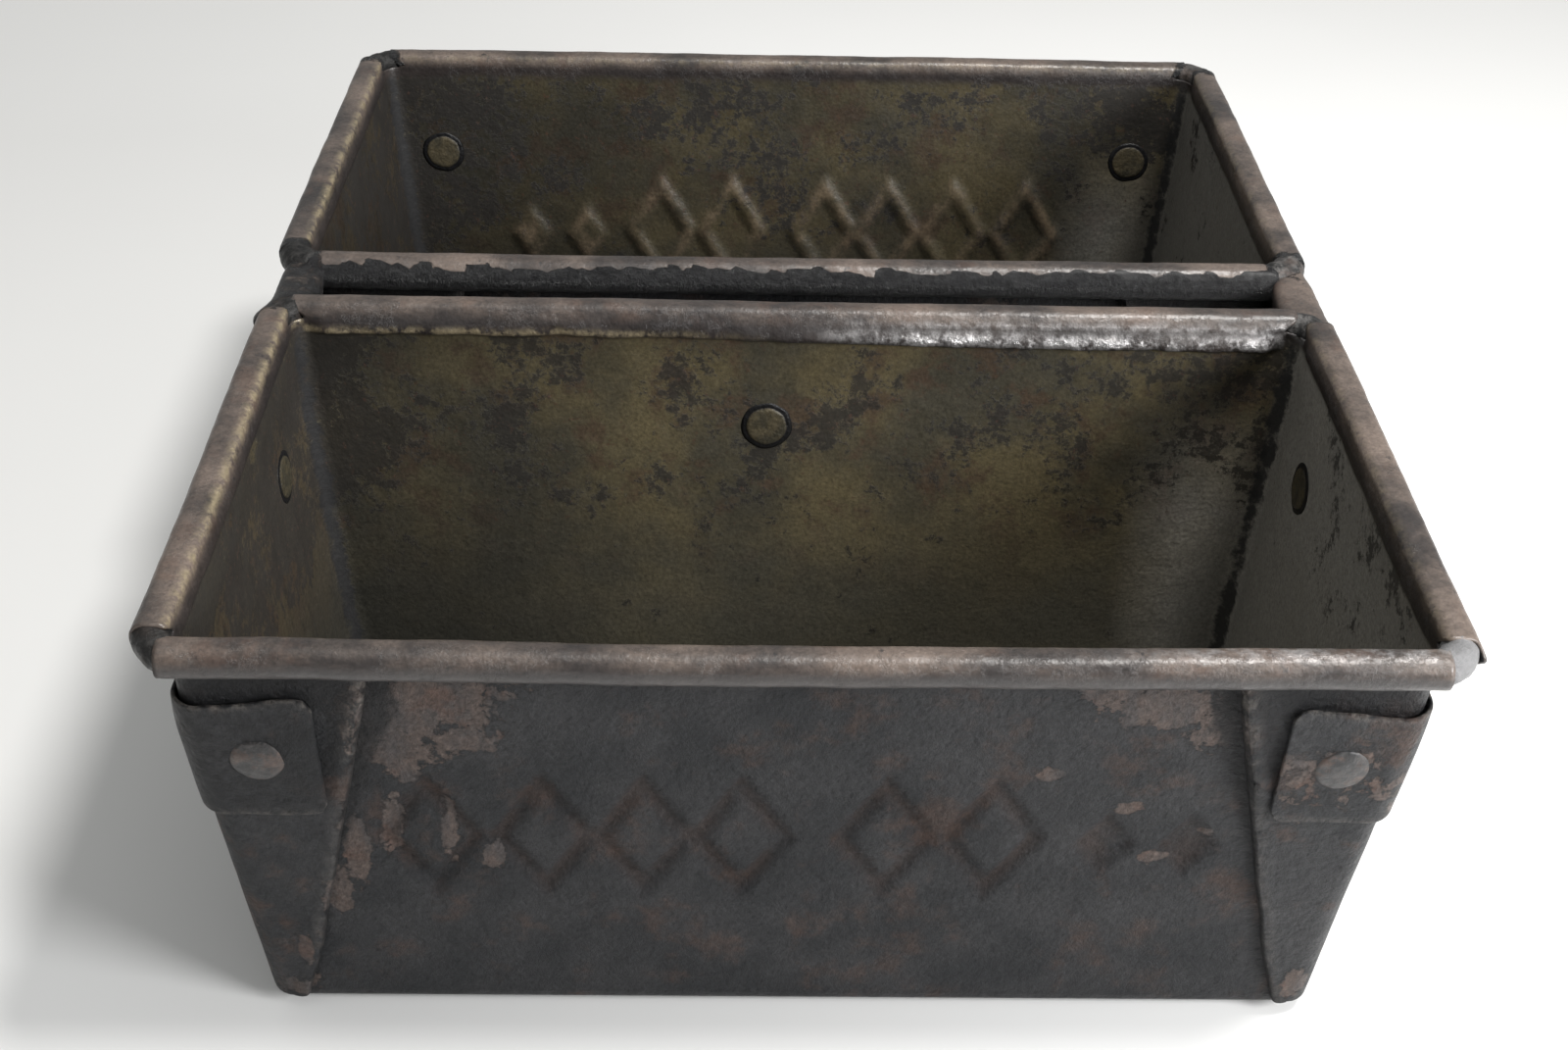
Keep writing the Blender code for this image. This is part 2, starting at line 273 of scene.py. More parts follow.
# A row of plain lozenges stands where the maker pressed its lettering.
MARK_TOP = 35 * MM          # below the wire's centre
MARK_HEIGHT = 29 * MM
SMALL_MARK_HEIGHT = 19 * MM
MARK_DEPTH = 1.15 * MM
MARK_STROKE = 2.0 * MM      # half the width of a pressed line
LARGE_MARKS = (-0.072, -0.050, -0.0305, -0.0115, 0.0165, 0.0375)
SMALL_MARKS = (0.0600, 0.0765)

# Where the front tin's glaze has come off: (x, below the wire, reach along, reach down).
FLAKES = (
    (-0.071, 0.014, 0.017, 0.010), (-0.077, 0.025, 0.008, 0.009), (-0.064, 0.022, 0.008, 0.005),
    (0.066, 0.013, 0.015, 0.006), (0.078, 0.019, 0.007, 0.006), (0.056, 0.009, 0.008, 0.004),
    (-0.079, 0.046, 0.003, 0.010), (-0.068, 0.048, 0.002, 0.009), (-0.0865, 0.052, 0.003, 0.012),
    (-0.092, 0.066, 0.003, 0.009), (0.070, 0.054, 0.003, 0.002), (0.080, 0.047, 0.002, 0.002),
    (-0.104, 0.095, 0.006, 0.004), (-0.100, 0.083, 0.002, 0.005), (0.105, 0.092, 0.003, 0.006),
    (-0.060, 0.055, 0.003, 0.004), (0.047, 0.031, 0.004, 0.002), (0.064, 0.040, 0.004, 0.002),
)


def fractions(length, step):
    """Places from -1 to 1 along a side of that length, closer together near its ends."""
    fine = [FINE_STEP * index for index in range(round(FINE_REACH / FINE_STEP) + 1)]
    inner = length - 2 * FINE_REACH
    count = max(2, round(inner / step))
    middle = [FINE_REACH + inner * (index + 1) / count for index in range(count - 1)]
    places = fine + middle + [length - place for place in reversed(fine)]
    return [2.0 * place / length - 1.0 for place in places]


# A line up a tin's sheet: how far along x and y its foot is, from -1 to 1, the way that its
# wall faces, and whether that is a straight wall and no corner.
Column = namedtuple("Column", "along_x along_y normal_x normal_y straight")


def pan_columns():
    columns = []
    length = 2 * (half_length(RIM_HEIGHT) - CORNER_RADIUS)
    width = 2 * (half_width(RIM_HEIGHT) - CORNER_RADIUS)
    for normal_x, normal_y in QUARTERS:
        reach, step = (width, END_STEP) if normal_x else (length, LONG_STEP)
        for part in fractions(reach, step):
            along_x = normal_x if normal_x else -normal_y * part
            along_y = normal_y if normal_y else normal_x * part
            columns.append(Column(along_x, along_y, normal_x, normal_y, True))
        corner_x = normal_x if normal_x else -normal_y
        corner_y = normal_y if normal_y else normal_x
        start = math.atan2(normal_y, normal_x)
        for index in range(1, CORNER_STEPS):
            angle = start + 0.5 * math.pi * index / CORNER_STEPS
            columns.append(Column(corner_x, corner_y, math.cos(angle), math.sin(angle), False))
    return columns


def column_place(column, z, inset=0.0):
    """Where a column is at height z, from the tin's middle, on a sheet without dents."""
    x = column.along_x * (half_length(z) - CORNER_RADIUS) + (CORNER_RADIUS - inset) * column.normal_x
    y = column.along_y * (half_width(z) - CORNER_RADIUS) + (CORNER_RADIUS - inset) * column.normal_y
    return x, y


def wall_part(row):
    """How far up its wall a row is, from 0 to 1, with finer rows under the rim."""
    fine = FINE_HEIGHT / (RIM_HEIGHT - SHEET - FILLET)
    coarse_rows = WALL_ROWS - FINE_ROWS
    if row < coarse_rows:
        return (1.0 - fine) * row / coarse_rows
    return 1.0 - fine * (WALL_ROWS - row) / FINE_ROWS


def mark_press(x, drop):
    """How deep the pressing is, from 0 to 1, at x along an outer long wall."""
    deepest = 0.0
    for place in LARGE_MARKS:
        across = abs(x - place)
        down = abs(drop - MARK_TOP - MARK_HEIGHT / 2)
        if across > 0.5 * MARK_HEIGHT or down > 0.7 * MARK_HEIGHT:
            continue
        edge = across / (0.30 * MARK_HEIGHT) + down / (0.5 * MARK_HEIGHT) - 1.0
        line = abs(edge) * 0.26 * MARK_HEIGHT / MARK_STROKE
        deepest = max(deepest, 1.0 - smooth(0.35, 1.3, line))
    for place in SMALL_MARKS:
        across = abs(x - place)
        down = abs(drop - MARK_TOP - MARK_HEIGHT / 2 - 1.5 * MM)
        edge = across / (0.34 * SMALL_MARK_HEIGHT) + down / (0.5 * SMALL_MARK_HEIGHT) - 1.0
        deepest = max(deepest, 1.0 - smooth(-0.28, 0.10, edge))
    return deepest


def rim_wander(x, y, end_on, seed):
    """How far the rim strays outward and upward; end_on is 1 on an end rim and 0 on a long one."""
    out = 0.42 * MM * wave(x, y, 0, 70 * MM, seed) + 0.16 * MM * wave(x, y, 0, 18 * MM, seed + 3)
    rise = 0.45 * MM * wave(x, y, 0, 80 * MM, seed + 9) + 0.12 * MM * wave(x, y, 0, 15 * MM, seed)
    if y < PAN_Y["front"]:
        rise -= FRONT_DIP * hump(x, -0.02, 0.06)
    if y < 0:
        always, further = LEFT_KNOCK if x < 0 else RIGHT_KNOCK
        out -= end_on * (always + further * smooth(-0.03, -0.12, y))
    return out - RIM_INSET, rise - RIM_SINK


def wall_shift(x, y, z, end_on, seed):
    """How far a wall stands from its plane, which leads into its rim at the top."""
    part = (z - SHEET - FILLET) / (RIM_HEIGHT - SHEET - FILLET)
    out = rim_wander(x, y, end_on, seed)[0]
    return wall_warp(x, y, z, seed) * (1 - smooth(0.85, 1.0, part)) + out * smooth(0.75, 1.0, part)


def wall_warp(x, y, z, seed):
    """How far a wall is bowed or dented along its outward normal."""
    slow = 0.50 * MM * wave(x, y, z, 75 * MM, seed)
    quick = 0.15 * MM * wave(x, y, z, 17 * MM, seed + 5) + 0.05 * MM * wave(x, y, z, 6 * MM, seed)
    return smooth(0.0, 0.03, z) * slow + quick


def ear_edge(z):
    """Half the length between the free edges of a long wall's two ears at height z."""
    part = max(0.0, (z - SHEET) / (RIM_HEIGHT - CURL_RADIUS - MM - SHEET))
    wander = 0.5 * MM * wave(z, 0, 0, 14 * MM, 3.0)
    return half_length(z) - CORNER_RADIUS - 2 * MM - 31 * MM * part ** 0.93 + wander


def roll_cut(pan, normal_y, corner):
    """How far from a rim corner a roll starts, and over what length it reaches its full turn."""
    if pan == "front" and normal_y < 0:
        return (7.0 * MM, 4.5 * MM) if corner < 0 else (7.0 * MM, 2.6 * MM)
    shift = noise.noise(Vector((SEEDS[pan], normal_y * 2.3 + 0.4, corner * 3.1)))
    return 7.2 * MM + 0.8 * MM * shift, 2.6 * MM + 1.2 * MM * shift


def roll_turn(distance, start, run):
    """How far round the wire the sheet reaches at a distance from the rim's corner."""
    if distance < start:
        return 0.0
    part = min(1.0, (distance - start) / run)
    eased = math.sqrt(1.0 - (1.0 - part) ** 2)
    return CURL_START + (CURL_TURN - CURL_START) * eased


def bead_swell(x, y, z, drop, bead, lip):
    """How far inward a roll's bead stands, drop below the wire's centre."""
    shape = smooth(-3.0 * MM, lip - 0.8 * MM, drop) * smooth(lip + 0.9 * MM, lip - 0.3 * MM, drop)
    return bead * shape * (1.0 + 0.35 * wave(x, y, z, 4.5 * MM, 79.0))


def roll_point(angle, radius, end_on):
    """A point on a roll's section, which is flattened over its top, the more so on end rims."""
    along, up = math.cos(angle), math.sin(angle)
    if up > 0:
        square = 1.5 if end_on else 0.4
        power = 2.0 + square * (2.0 if along < 0 else 0.5)
        radius = radius / (abs(along) ** power + abs(up) ** power) ** (1.0 / power)
    return radius * along, radius * up


class PanShape:
    """Every point of one tin's sheet, floor to roll, column by column, with its wear."""

    def __init__(self, pan):
        self.pan = pan
        self.middle = PAN_Y[pan]
        self.seed = SEEDS[pan]
        self.points = []
        self.wear = {"rim": [], "crust": [], "crest": [], "polish": []}
        self.turns = []
        for column in pan_columns():
            bead, lip = self.inner_bead(column)
            self.add_floor(column)
            self.add_wall(column, bead, lip)
            self.add_roll(column, bead, lip)

    def add(self, x, y, z, **wear):
        self.points.append((x, self.middle + y, min(z, TOP_LIMIT)))
        for name, values in self.wear.items():
            values.append(wear.get(name, 0.0))

    def beside_gap(self, column):
        """Whether a column is on the front tin's wall beside the gap, whose roll is polished and carries a
        painted highlight.
        """
        return self.pan == "front" and column.normal_y > 0

    def hung_with_crust(self, column):
        """Whether a column is on the rear tin's wall beside the gap."""
        return self.pan == "rear" and column.normal_y < 0

    def inner_bead(self, column):
        """How far a roll swells inward over its wall, and how far below the wire that ends."""
        if not column.straight:
            return NO_BEAD
        x, y = column_place(column, RIM_HEIGHT)
        along, reach = (y, half_width(RIM_HEIGHT)) if column.normal_x else (x, half_length(RIM_HEIGHT))
        inside = smooth(0.0, 5 * MM, reach - CORNER_RADIUS - abs(along))
        if self.beside_gap(column):
            right = smooth(-0.04, 0.05, along)
            swell, lip = (size + right * more for size, more in zip(GAP_BEAD, GAP_BEAD_MORE))
            return swell * inside, lip
        return (END_BEAD[0] * inside, END_BEAD[1]) if column.normal_x else NO_BEAD

    def add_floor(self, column):
        """The floor from its middle line outward, and the fillet that leads to the wall."""
        wide, deep = half_length(SHEET) - CORNER_RADIUS, half_width(SHEET) - CORNER_RADIUS
        for row in range(FLOOR_ROWS):
            part = 1.0 - row / FLOOR_ROWS
            corner = (CORNER_RADIUS - FILLET) * (1 - part)
            x = column.along_x * (wide - part * deep) + corner * column.normal_x
            y = column.along_y * deep * (1 - part) + corner * column.normal_y
            lift = FLOOR_LIFT * (1 + wave(x, y, 0, 45 * MM, self.seed)) * smooth(0, 0.3, part)
            self.add(x, y, SHEET + lift)
        for row in range(FILLET_ROWS):
            angle = 0.5 * math.pi * row / FILLET_ROWS
            z = SHEET + FILLET * (1 - math.cos(angle))
            x, y = column_place(column, z, FILLET * (1 - math.sin(angle)))
            self.add(x, y, z)

    def add_wall(self, column, bead, lip):
        top_x, top_y = column_place(column, RIM_HEIGHT)
        rise = rim_wander(top_x, self.middle + top_y, abs(column.normal_x), self.seed)[1]
        # the bead's right part is polished and carries a painted highlight, its left part a worn crest
        right = smooth(-0.005, 0.035, top_x) if self.beside_gap(column) else 0.0
        left = smooth(0.0, -0.05, top_x) if self.beside_gap(column) else 0.0
        low = SHEET + FILLET
        for row in range(WALL_ROWS + 1):
            part = wall_part(row)
            z = low + (RIM_HEIGHT - low) * part
            x, y = column_place(column, z)
            warp = wall_shift(x, self.middle + y, z, abs(column.normal_x), self.seed)
            if column.normal_y == OUTWARD[self.pan]:
                warp -= MARK_DEPTH * mark_press(-x * OUTWARD[self.pan], RIM_HEIGHT - z)
            ragged = 0.5 * MM * wave(x, y, 0, 12 * MM, 77.0) + 0.25 * MM * wave(x, y, 0, 4 * MM, 78.0)
            drop = RIM_HEIGHT - z + ragged
            warp -= bead_swell(x, y, z, drop, bead, lip)
            self.add(x + column.normal_x * warp, y + column.normal_y * warp,
                     z + rise * smooth(0.85, 1.0, part),
                     rim=max(smooth(lip + 0.5 * MM, lip - 0.2 * MM, drop), smooth(4 * MM, MM, drop)),
                     crest=left * hump(drop, lip - 0.7 * MM, 0.9 * MM),
                     polish=right * hump(drop, lip - 1.7 * MM, 1.7 * MM))

    def add_roll(self, column, bead, lip):
        """The sheet rolled over the wire; near a corner it stops short and shows the wire."""
        normal_x, normal_y = column.normal_x, column.normal_y
        top_x, top_y = column_place(column, RIM_HEIGHT)
        out, rise = rim_wander(top_x, self.middle + top_y, abs(normal_x), self.seed)
        along, reach = (top_x, RIM_HALF_LENGTH) if normal_x == 0 else (top_y, RIM_HALF_WIDTH)
        corner, distance = math.copysign(1.0, along), reach - abs(along)
        turn = roll_turn(distance, *roll_cut(self.pan, normal_y, corner)) if column.straight else 0.0
        self.turns.append(turn)
        longer = ROLL_STRETCH * smooth(14 * MM, 8.2 * MM, distance)
        has_flap = self.pan == "front" and normal_x > 0 and corner < 0
        flap = smooth(10.5 * MM, 8.2 * MM, distance) if has_flap else 0.0
        for row in range(1, CURL_ROWS + 1):
            angle = math.pi - max(turn, 0.2) * row / CURL_ROWS
            tip = flap * hump(angle, -0.1, 0.45)
            stretch = corner * (longer * smooth(0, 0.9, math.pi - angle) + FLAP_REACH * tip)
            x = normal_x * RIM_HALF_LENGTH if normal_x else top_x + stretch
            y = normal_y * RIM_HALF_WIDTH if normal_y else top_y + stretch
            near = math.cos(angle) * CURL_RADIUS
            where = (x + normal_x * near, y + normal_y * near + self.middle, math.sin(angle) * CURL_RADIUS)
            wear = self.roll_wear(column, angle, distance, where)
            away, up = roll_point(angle, self.roll_radius(column, angle, where, wear), normal_x)
            joined = 1.0 - smooth(0.0, 0.6, math.pi - angle)
            away = away * (1 - joined) - CURL_RADIUS * joined * abs(math.cos(angle))
            inward = bead_swell(x, y, 0, -up, bead, lip) * max(0.0, -math.cos(angle)) ** 0.5
            away += out + FLAP_LIFT * tip - inward
            self.add(x + normal_x * away, y + normal_y * away, RIM_HEIGHT + rise + up, rim=1.0, **wear)

    def roll_radius(self, column, angle, where, wear):
        radius = CURL_RADIUS - 0.12 * MM + 0.13 * MM * wave(*where, 11 * MM, self.seed + 2)
        radius += (0.07 + 0.22 * wear["polish"]) * MM * wave(*where, 3.6 * MM, self.seed + 7)
        radius += 0.42 * MM * wear["crust"] * (lumps(*where, 2.6 * MM, self.seed) - 0.6)
        if self.hung_with_crust(column):
            radius += HANGING_CRUST * smooth(0.7, -0.2, angle)
        return radius

    def roll_wear(self, column, angle, distance, where):
        """Crust, bare crease, and polish with a painted highlight on a roll, at an angle back from its
        outer side.
        """
        crust = (0.35 if self.pan == "front" else 0.75) * smooth(13 * MM, 8.4 * MM, distance)
        if self.hung_with_crust(column):
            ragged = angle + 0.55 * wave(*where, 8 * MM, 5.0) + 0.35 * wave(*where, 2.5 * MM, 8.0)
            crust = max(crust, smooth(0.95, 0.55, ragged))
        crest = hump(angle, 2.42, 0.22) * (1.0 if column.normal_x < 0 else 0.25)
        polish = 0.0
        # polished steel on the gap's roll, on its right where the key light gleams, so partly a painted
        # highlight
        if self.beside_gap(column):
            crest = 0.0
            polish = 0.5 * hump(angle, 3.1, 0.4) * smooth(-0.005, 0.035, where[0])
        elif self.pan == "front" and column.normal_y < 0:
            # painted highlight: the foremost roll is painted bright steel on its right, where the key
            # light gleams
            polish = 0.5 * hump(angle, 1.7, 0.55) * smooth(0.045, 0.090, where[0])
        return {"crust": crust, "crest": crest, "polish": polish}


def make_tin(pan):
    shape = PanShape(pan)
    count = len(shape.turns)
    rows = len(shape.points) // count
    roll_start = FLOOR_ROWS + FILLET_ROWS + WALL_ROWS
    faces = []
    for index in range(count):
        after = (index + 1) % count
        for row in range(rows - 1):
            if row >= roll_start and not (shape.turns[index] and shape.turns[after]):
                continue
            faces.append((index * rows + row, after * rows + row,
                          after * rows + row + 1, index * rows + row + 1))
    tin = mesh_object(f"{pan}_tin", shape.points, faces)
    for name, values in shape.wear.items():
        paint(tin, name, values)
    paint_tin(tin, pan, np.array(shape.points))
    tidy_mesh(tin, outward=False)
    turn_sheet(tin, min(tin.data.polygons, key=lambda face: face.center.z), (0, 0, 1))
    solidify(tin, SHEET, -1.0, second_slot=1)
    return tin


def bare_spots(x, drop):
    """How bare the glaze is at x along a tin's outer long wall, drop below the wire."""
    bare_and_lit = np.zeros(len(x))
    for place, below, along, down in FLAKES:
        spot = np.exp(-((x - place) / along) ** 2 - ((drop - below) / down) ** 2)
        bare_and_lit = np.maximum(bare_and_lit, spot)
    return bare_and_lit


def paint_tin(tin, pan, points):
    """The wear and painted light that the sheet's materials read: greasy seams, soot and painted shadow,
    pressing, bare patches, and painted shade and sheen inside.
    """
    x, y, z = points[:, 0], points[:, 1] - PAN_Y[pan], points[:, 2]
    drop = RIM_HEIGHT - z
    right = x > 0
    facing = y * OUTWARD[pan] > 0.02
    seen_x = -x * OUTWARD[pan]
    to_end = share(half_length(z) - np.abs(x))
    to_side = share(half_width(z) - np.abs(y))
    paint(tin, "seam", fade(np.hypot(to_end, to_side), 4.6 * MM))
    end_wall = fade(to_end, 2.0 * MM)
    paint(tin, "end_wall", end_wall)
    near_end = fade(to_end, 17 * MM) * share((0.075 - drop) / 0.03)
    paint(tin, "blotch", near_end * np.where(x < 0, 1.0, 0.7))
    # painted light: the right end wall is paled as dust and sheen, and the rear wall's corner in its
    # shadow is lightened
    painted_light_rear_corner = share((x - 0.080) / 0.015) * (y > 0.03) * share((drop - 0.02) / 0.03)
    paint(tin, "dust_and_sheen", np.maximum(end_wall * right, 0.6 * painted_light_rear_corner))
    # painted shade: the inside is darker towards the left end, more so low down
    paint(tin, "left_shade", share((-x - 0.030) / 0.05) * (0.55 + 0.45 * share((drop - 0.045) / 0.03)))

    # soot beside the ears' free edges, partly the painted shadow of the folds
    edge = np.array([ear_edge(height) for height in z])
    reach = (2.6 + 4.2 * share(1.2 - drop / 0.045)) * MM
    soot_and_shade = fade(edge - np.abs(x), reach) * (drop > 2 * MM) * np.clip(1.25 - drop / 0.075, 0.45, 1.0)
    # painted shadow: a dark band under the roll
    roll_shadow = share((9 * MM - drop) / (4 * MM))
    paint(tin, "soot_and_shade", np.maximum(soot_and_shade, 0.8 * roll_shadow))
    pressed = [mark_press(a, b) if c else 0.0 for a, b, c in zip(seen_x, drop, facing)]
    paint(tin, "pressed", pressed)
    patchy = np.array([wave(*point, 21 * MM, 61.0) for point in points])
    paint(tin, "bare_and_lit", np.where(facing, bare_spots(seen_x, drop), share(1.5 * patchy) * fade(drop, 0.03)))


def ear_section(pan, side, end, z):
    """The closed outline of one folded corner at height z."""
    middle, seed = PAN_Y[pan], SEEDS[pan]
    centre_x = half_length(z) - CORNER_RADIUS
    centre_y = half_width(z) - CORNER_RADIUS
    edge = ear_edge(z)

    def spot(across, off, angle=0.5 * math.pi):
        """A point at off from the wall's inner face; across is where its arc or flat starts."""
        x = end * (across + (CORNER_RADIUS + off) * math.cos(angle))
        y = side * (centre_y + (CORNER_RADIUS + off) * math.sin(angle))
        warp = wall_shift(x, middle + y, z, math.cos(angle), seed)
        return (x + end * warp * math.cos(angle), middle + y + side * warp * math.sin(angle), z)

    top = smooth(0.060, 0.085, z)
    has_blob = pan == "front" and side < 0 < end
    blob = BLOB * hump(RIM_HEIGHT - z, 32 * MM, 4 * MM) if has_blob else 0.0
    outline = []
    for step in range(ARC_STEPS + 1):
        part = step / ARC_STEPS
        cover = EAR_THICKNESS * smooth(-0.2, 1.1, part)
        outline.append(spot(centre_x, SHEET + cover, 0.5 * math.pi * part))
    flat = centre_x - edge
    for step in range(1, EAR_STEPS + 1):
        across = centre_x - (flat - FOLD_RADIUS) * step / EAR_STEPS
        swell = (0.35 + 0.65 * top) * MM * hump(across, edge + 1.6 * MM, 1.5 * MM)
        swell += blob * hump(across, edge + 1.5 * MM, 3.2 * MM) * lumps(across, 0.0, z, 2.4 * MM, 6.0)
        dents = 0.16 * MM * wave(end * across, middle, z, 9 * MM, seed + 21)
        outline.append(spot(across, SHEET + EAR_THICKNESS + swell + dents))
    for step in range(1, FOLD_STEPS + 1):
        turn = 0.5 * math.pi * step / FOLD_STEPS
        height = (EAR_THICKNESS + 0.3 * MM) * math.cos(turn)
        outline.append(spot(edge + FOLD_RADIUS * (1 - math.sin(turn)), SHEET + height))
    outline.append(spot(edge + 0.2 * MM, EAR_BITE))
    for step in range(1, 6):
        outline.append(spot(edge + flat * step / 5, EAR_BITE))
    for step in range(6, -1, -1):
        outline.append(spot(centre_x, EAR_BITE, 0.5 * math.pi * step / 7))
    return outline


def make_ear(pan, side_name, end_name):
    side, end = OUTWARD[side_name], ENDS[end_name]
    low, top = SHEET + FILLET * 0.9, RIM_HEIGHT - CURL_RADIUS + 0.4 * MM
    heights = [low + (top - low) * row / EAR_ROWS for row in range(EAR_ROWS + 1)]
    sections = [ear_section(pan, side, end, z) for z in heights]
    ear = loft(f"{pan}_tin_fold_{side_name}_{end_name}", sections)
    paint_ear(ear, np.abs([point[0] for section in sections for point in section]),
              np.repeat(heights, len(sections[0])), side_name == pan, end_name == "right", -side * end)
    tidy_mesh(ear)
    return ear


def paint_ear(ear, x, z, outermost, right, mirror):
    """Wear and painted light on a folded corner; outermost is true on the long walls away from the gap."""
    drop = RIM_HEIGHT - z
    past_edge = x - np.array([ear_edge(height) for height in z])
    # painted highlight along the fold's rounded edge, strongest near the top, over its worn edge
    ridge_highlight = np.clip(1.4 - drop / 0.028, 0.35, 1.0)
    paint(ear, "edge_wear_and_highlight", ridge_highlight * fade(past_edge - 1.0 * MM, 1.5 * MM))
    # painted shadow under the roll and in the crevice at the fold, and soot partly shade beside it
    roll_shadow = share((17 * MM - drop) / (5 * MM)) * share(past_edge / (5 * MM))
    beside = fade(past_edge - 4.6 * MM, 2.4 * MM) * share(1.3 - drop / 0.05)
    crevice_shade = fade(past_edge + 0.3 * MM, 0.9 * MM)
    paint(ear, "soot_and_shade", np.maximum.reduce([crevice_shade, 0.9 * beside, 1.1 * roll_shadow]))
    bare_and_lit = 0.62 * fade(half_length(z) + SHEET - x, 2.5 * MM) * share((0.085 - z) / 0.05)
    if outermost:
        bare_and_lit = np.maximum(bare_and_lit, bare_spots(x * mirror, drop))
    # the right ear is lighter low down, as bare glaze and partly painted light
    if outermost and right:
        bare_and_lit = np.maximum(bare_and_lit, 0.42 * fade(x - 0.100, 0.016) * fade(drop - 0.028, 0.022))
    paint(ear, "bare_and_lit", bare_and_lit)


# ---------------------------------------------------------------- wires, straps, channel, rivets

WIRE_CORNER = CORNER_RADIUS + CURL_RADIUS
WIRE_SIDES = 32
WIRE_BENDS = 24
WIRE_STEP = 6.0 * MM
WIRE_FINE_STEP = 0.8 * MM   # near a bend
WIRE_FINE_STEPS = 8
BAND_ROWS = 26
BAND_STEP = 1.4 * MM
BAND_RADIUS = CORNER_RADIUS + SHEET + GAP
BAND_CLIMB = (26 * MM, 19 * MM)     # from the gap's middle: where its top edge climbs to the rolls
BAND_PEAK = (11 * MM, 6 * MM)       # and where it climbs in between them
TAB_CORNER = 3.0 * MM
TAB_RISE = 2.4 * MM         # of a tab's top edge towards its end
FRONT_TABS = -0.12          # the front tabs are in front of this
BRIDGE_INSET = {"left": 3.0 * MM, "right": 0.8 * MM}    # in from the wires' line
TIE_BEND = 3.0 * MM
TIE_ROWS = 15
TIE_STEPS = 24
BRIDGE_ROWS = 44
BRIDGE_SIDES = 36
BRIDGE_THICKNESS = 5.8 * MM
BRIDGE_SINK = 1.0 * MM      # of its middle below the wires' centres
RIVET_SIDES = 40
DOME_STEPS = 10
DOME_HEIGHT = 0.9 * MM
SHANK_RADIUS = 2.2 * MM


def wire_places():
    """Places round a rim wire: (x, y, outward x, outward y, how far before its bend)."""
    places = []
    for normal_x, normal_y in QUARTERS:
        half = (RIM_HALF_WIDTH if normal_x else RIM_HALF_LENGTH) - WIRE_CORNER
        close = [WIRE_FINE_STEP * step for step in range(WIRE_FINE_STEPS + 1)]
        far = half - close[-1]
        count = round(far / WIRE_STEP)
        gaps = close + [close[-1] + far * step / count for step in range(1, count)]
        runs = [-half + gap for gap in gaps] + [0.0] + [half - gap for gap in reversed(gaps)]
        for run in runs:
            x = normal_x * RIM_HALF_LENGTH - normal_y * run
            y = normal_y * RIM_HALF_WIDTH + normal_x * run
            places.append((x, y, normal_x, normal_y, half - abs(run)))
        corner_x = (normal_x if normal_x else -normal_y) * (RIM_HALF_LENGTH - WIRE_CORNER)
        corner_y = (normal_y if normal_y else normal_x) * (RIM_HALF_WIDTH - WIRE_CORNER)
        start = math.atan2(normal_y, normal_x)
        for step in range(1, WIRE_BENDS):
            angle = start + 0.5 * math.pi * step / WIRE_BENDS
            out_x, out_y = math.cos(angle), math.sin(angle)
            into = WIRE_CORNER * 0.5 * math.pi * min(step, WIRE_BENDS - step) / WIRE_BENDS
            places.append((corner_x + WIRE_CORNER * out_x, corner_y + WIRE_CORNER * out_y,
                           out_x, out_y, -into))
    return places


def make_wire(pan):
    middle, seed = PAN_Y[pan], SEEDS[pan]
    sections, crusts = [], []
    for x, y, out_x, out_y, past in wire_places():
        fat = 1.25 if pan == "rear" and y < 0 else 0.85
        out, rise = rim_wander(x, middle + y, abs(out_x), seed)
        crust = smooth(-0.3 * MM, -3.0 * MM, past)
        section = []
        for side in range(WIRE_SIDES):
            angle = math.tau * side / WIRE_SIDES
            away, up = math.cos(angle), math.sin(angle)
            inner = WIRE_RADIUS * away
            near = (x + out_x * inner, middle + y + out_y * inner, WIRE_RADIUS * up)
            lumpy = 0.8 * (lumps(*near, 2.6 * MM, seed) - 0.5) + 0.3 * wave(*near, 7 * MM, seed)
            radius = WIRE_RADIUS + crust * MM * (fat + 0.75 * lumpy)
            reach = radius * away + out
            section.append((x + out_x * reach, middle + y + out_y * reach,
                            min(RIM_HEIGHT + rise + radius * up, TOP_LIMIT)))
            crusts.append(crust)
        sections.append(section)
    wire = loft(f"{pan}_wire", sections, ring=True)
    paint(wire, "crust", crusts)
    tidy_mesh(wire)
    return wire


def band_places():
    """Places round a strap, from its front tab to its rear one: (kind, side, part)."""
    tab = half_length(BAND_HIGH) + SHEET + GAP - BAND_RADIUS - TAB_END
    tab_steps = round(tab / BAND_STEP)
    end_steps = round(2 * (PAN_Y["rear"] + RIM_HALF_WIDTH) / BAND_STEP)
    places = [("tab", -1, step / tab_steps) for step in range(tab_steps)]
    places += [("arc", -1, step / ARC_STEPS) for step in range(ARC_STEPS)]
    places += [("end", 0, 2 * step / end_steps - 1) for step in range(end_steps + 1)]
    places += [("arc", 1, 1 - step / ARC_STEPS) for step in range(1, ARC_STEPS + 1)]
    places += [("tab", 1, 1 - step / tab_steps) for step in range(1, tab_steps + 1)]
    return places


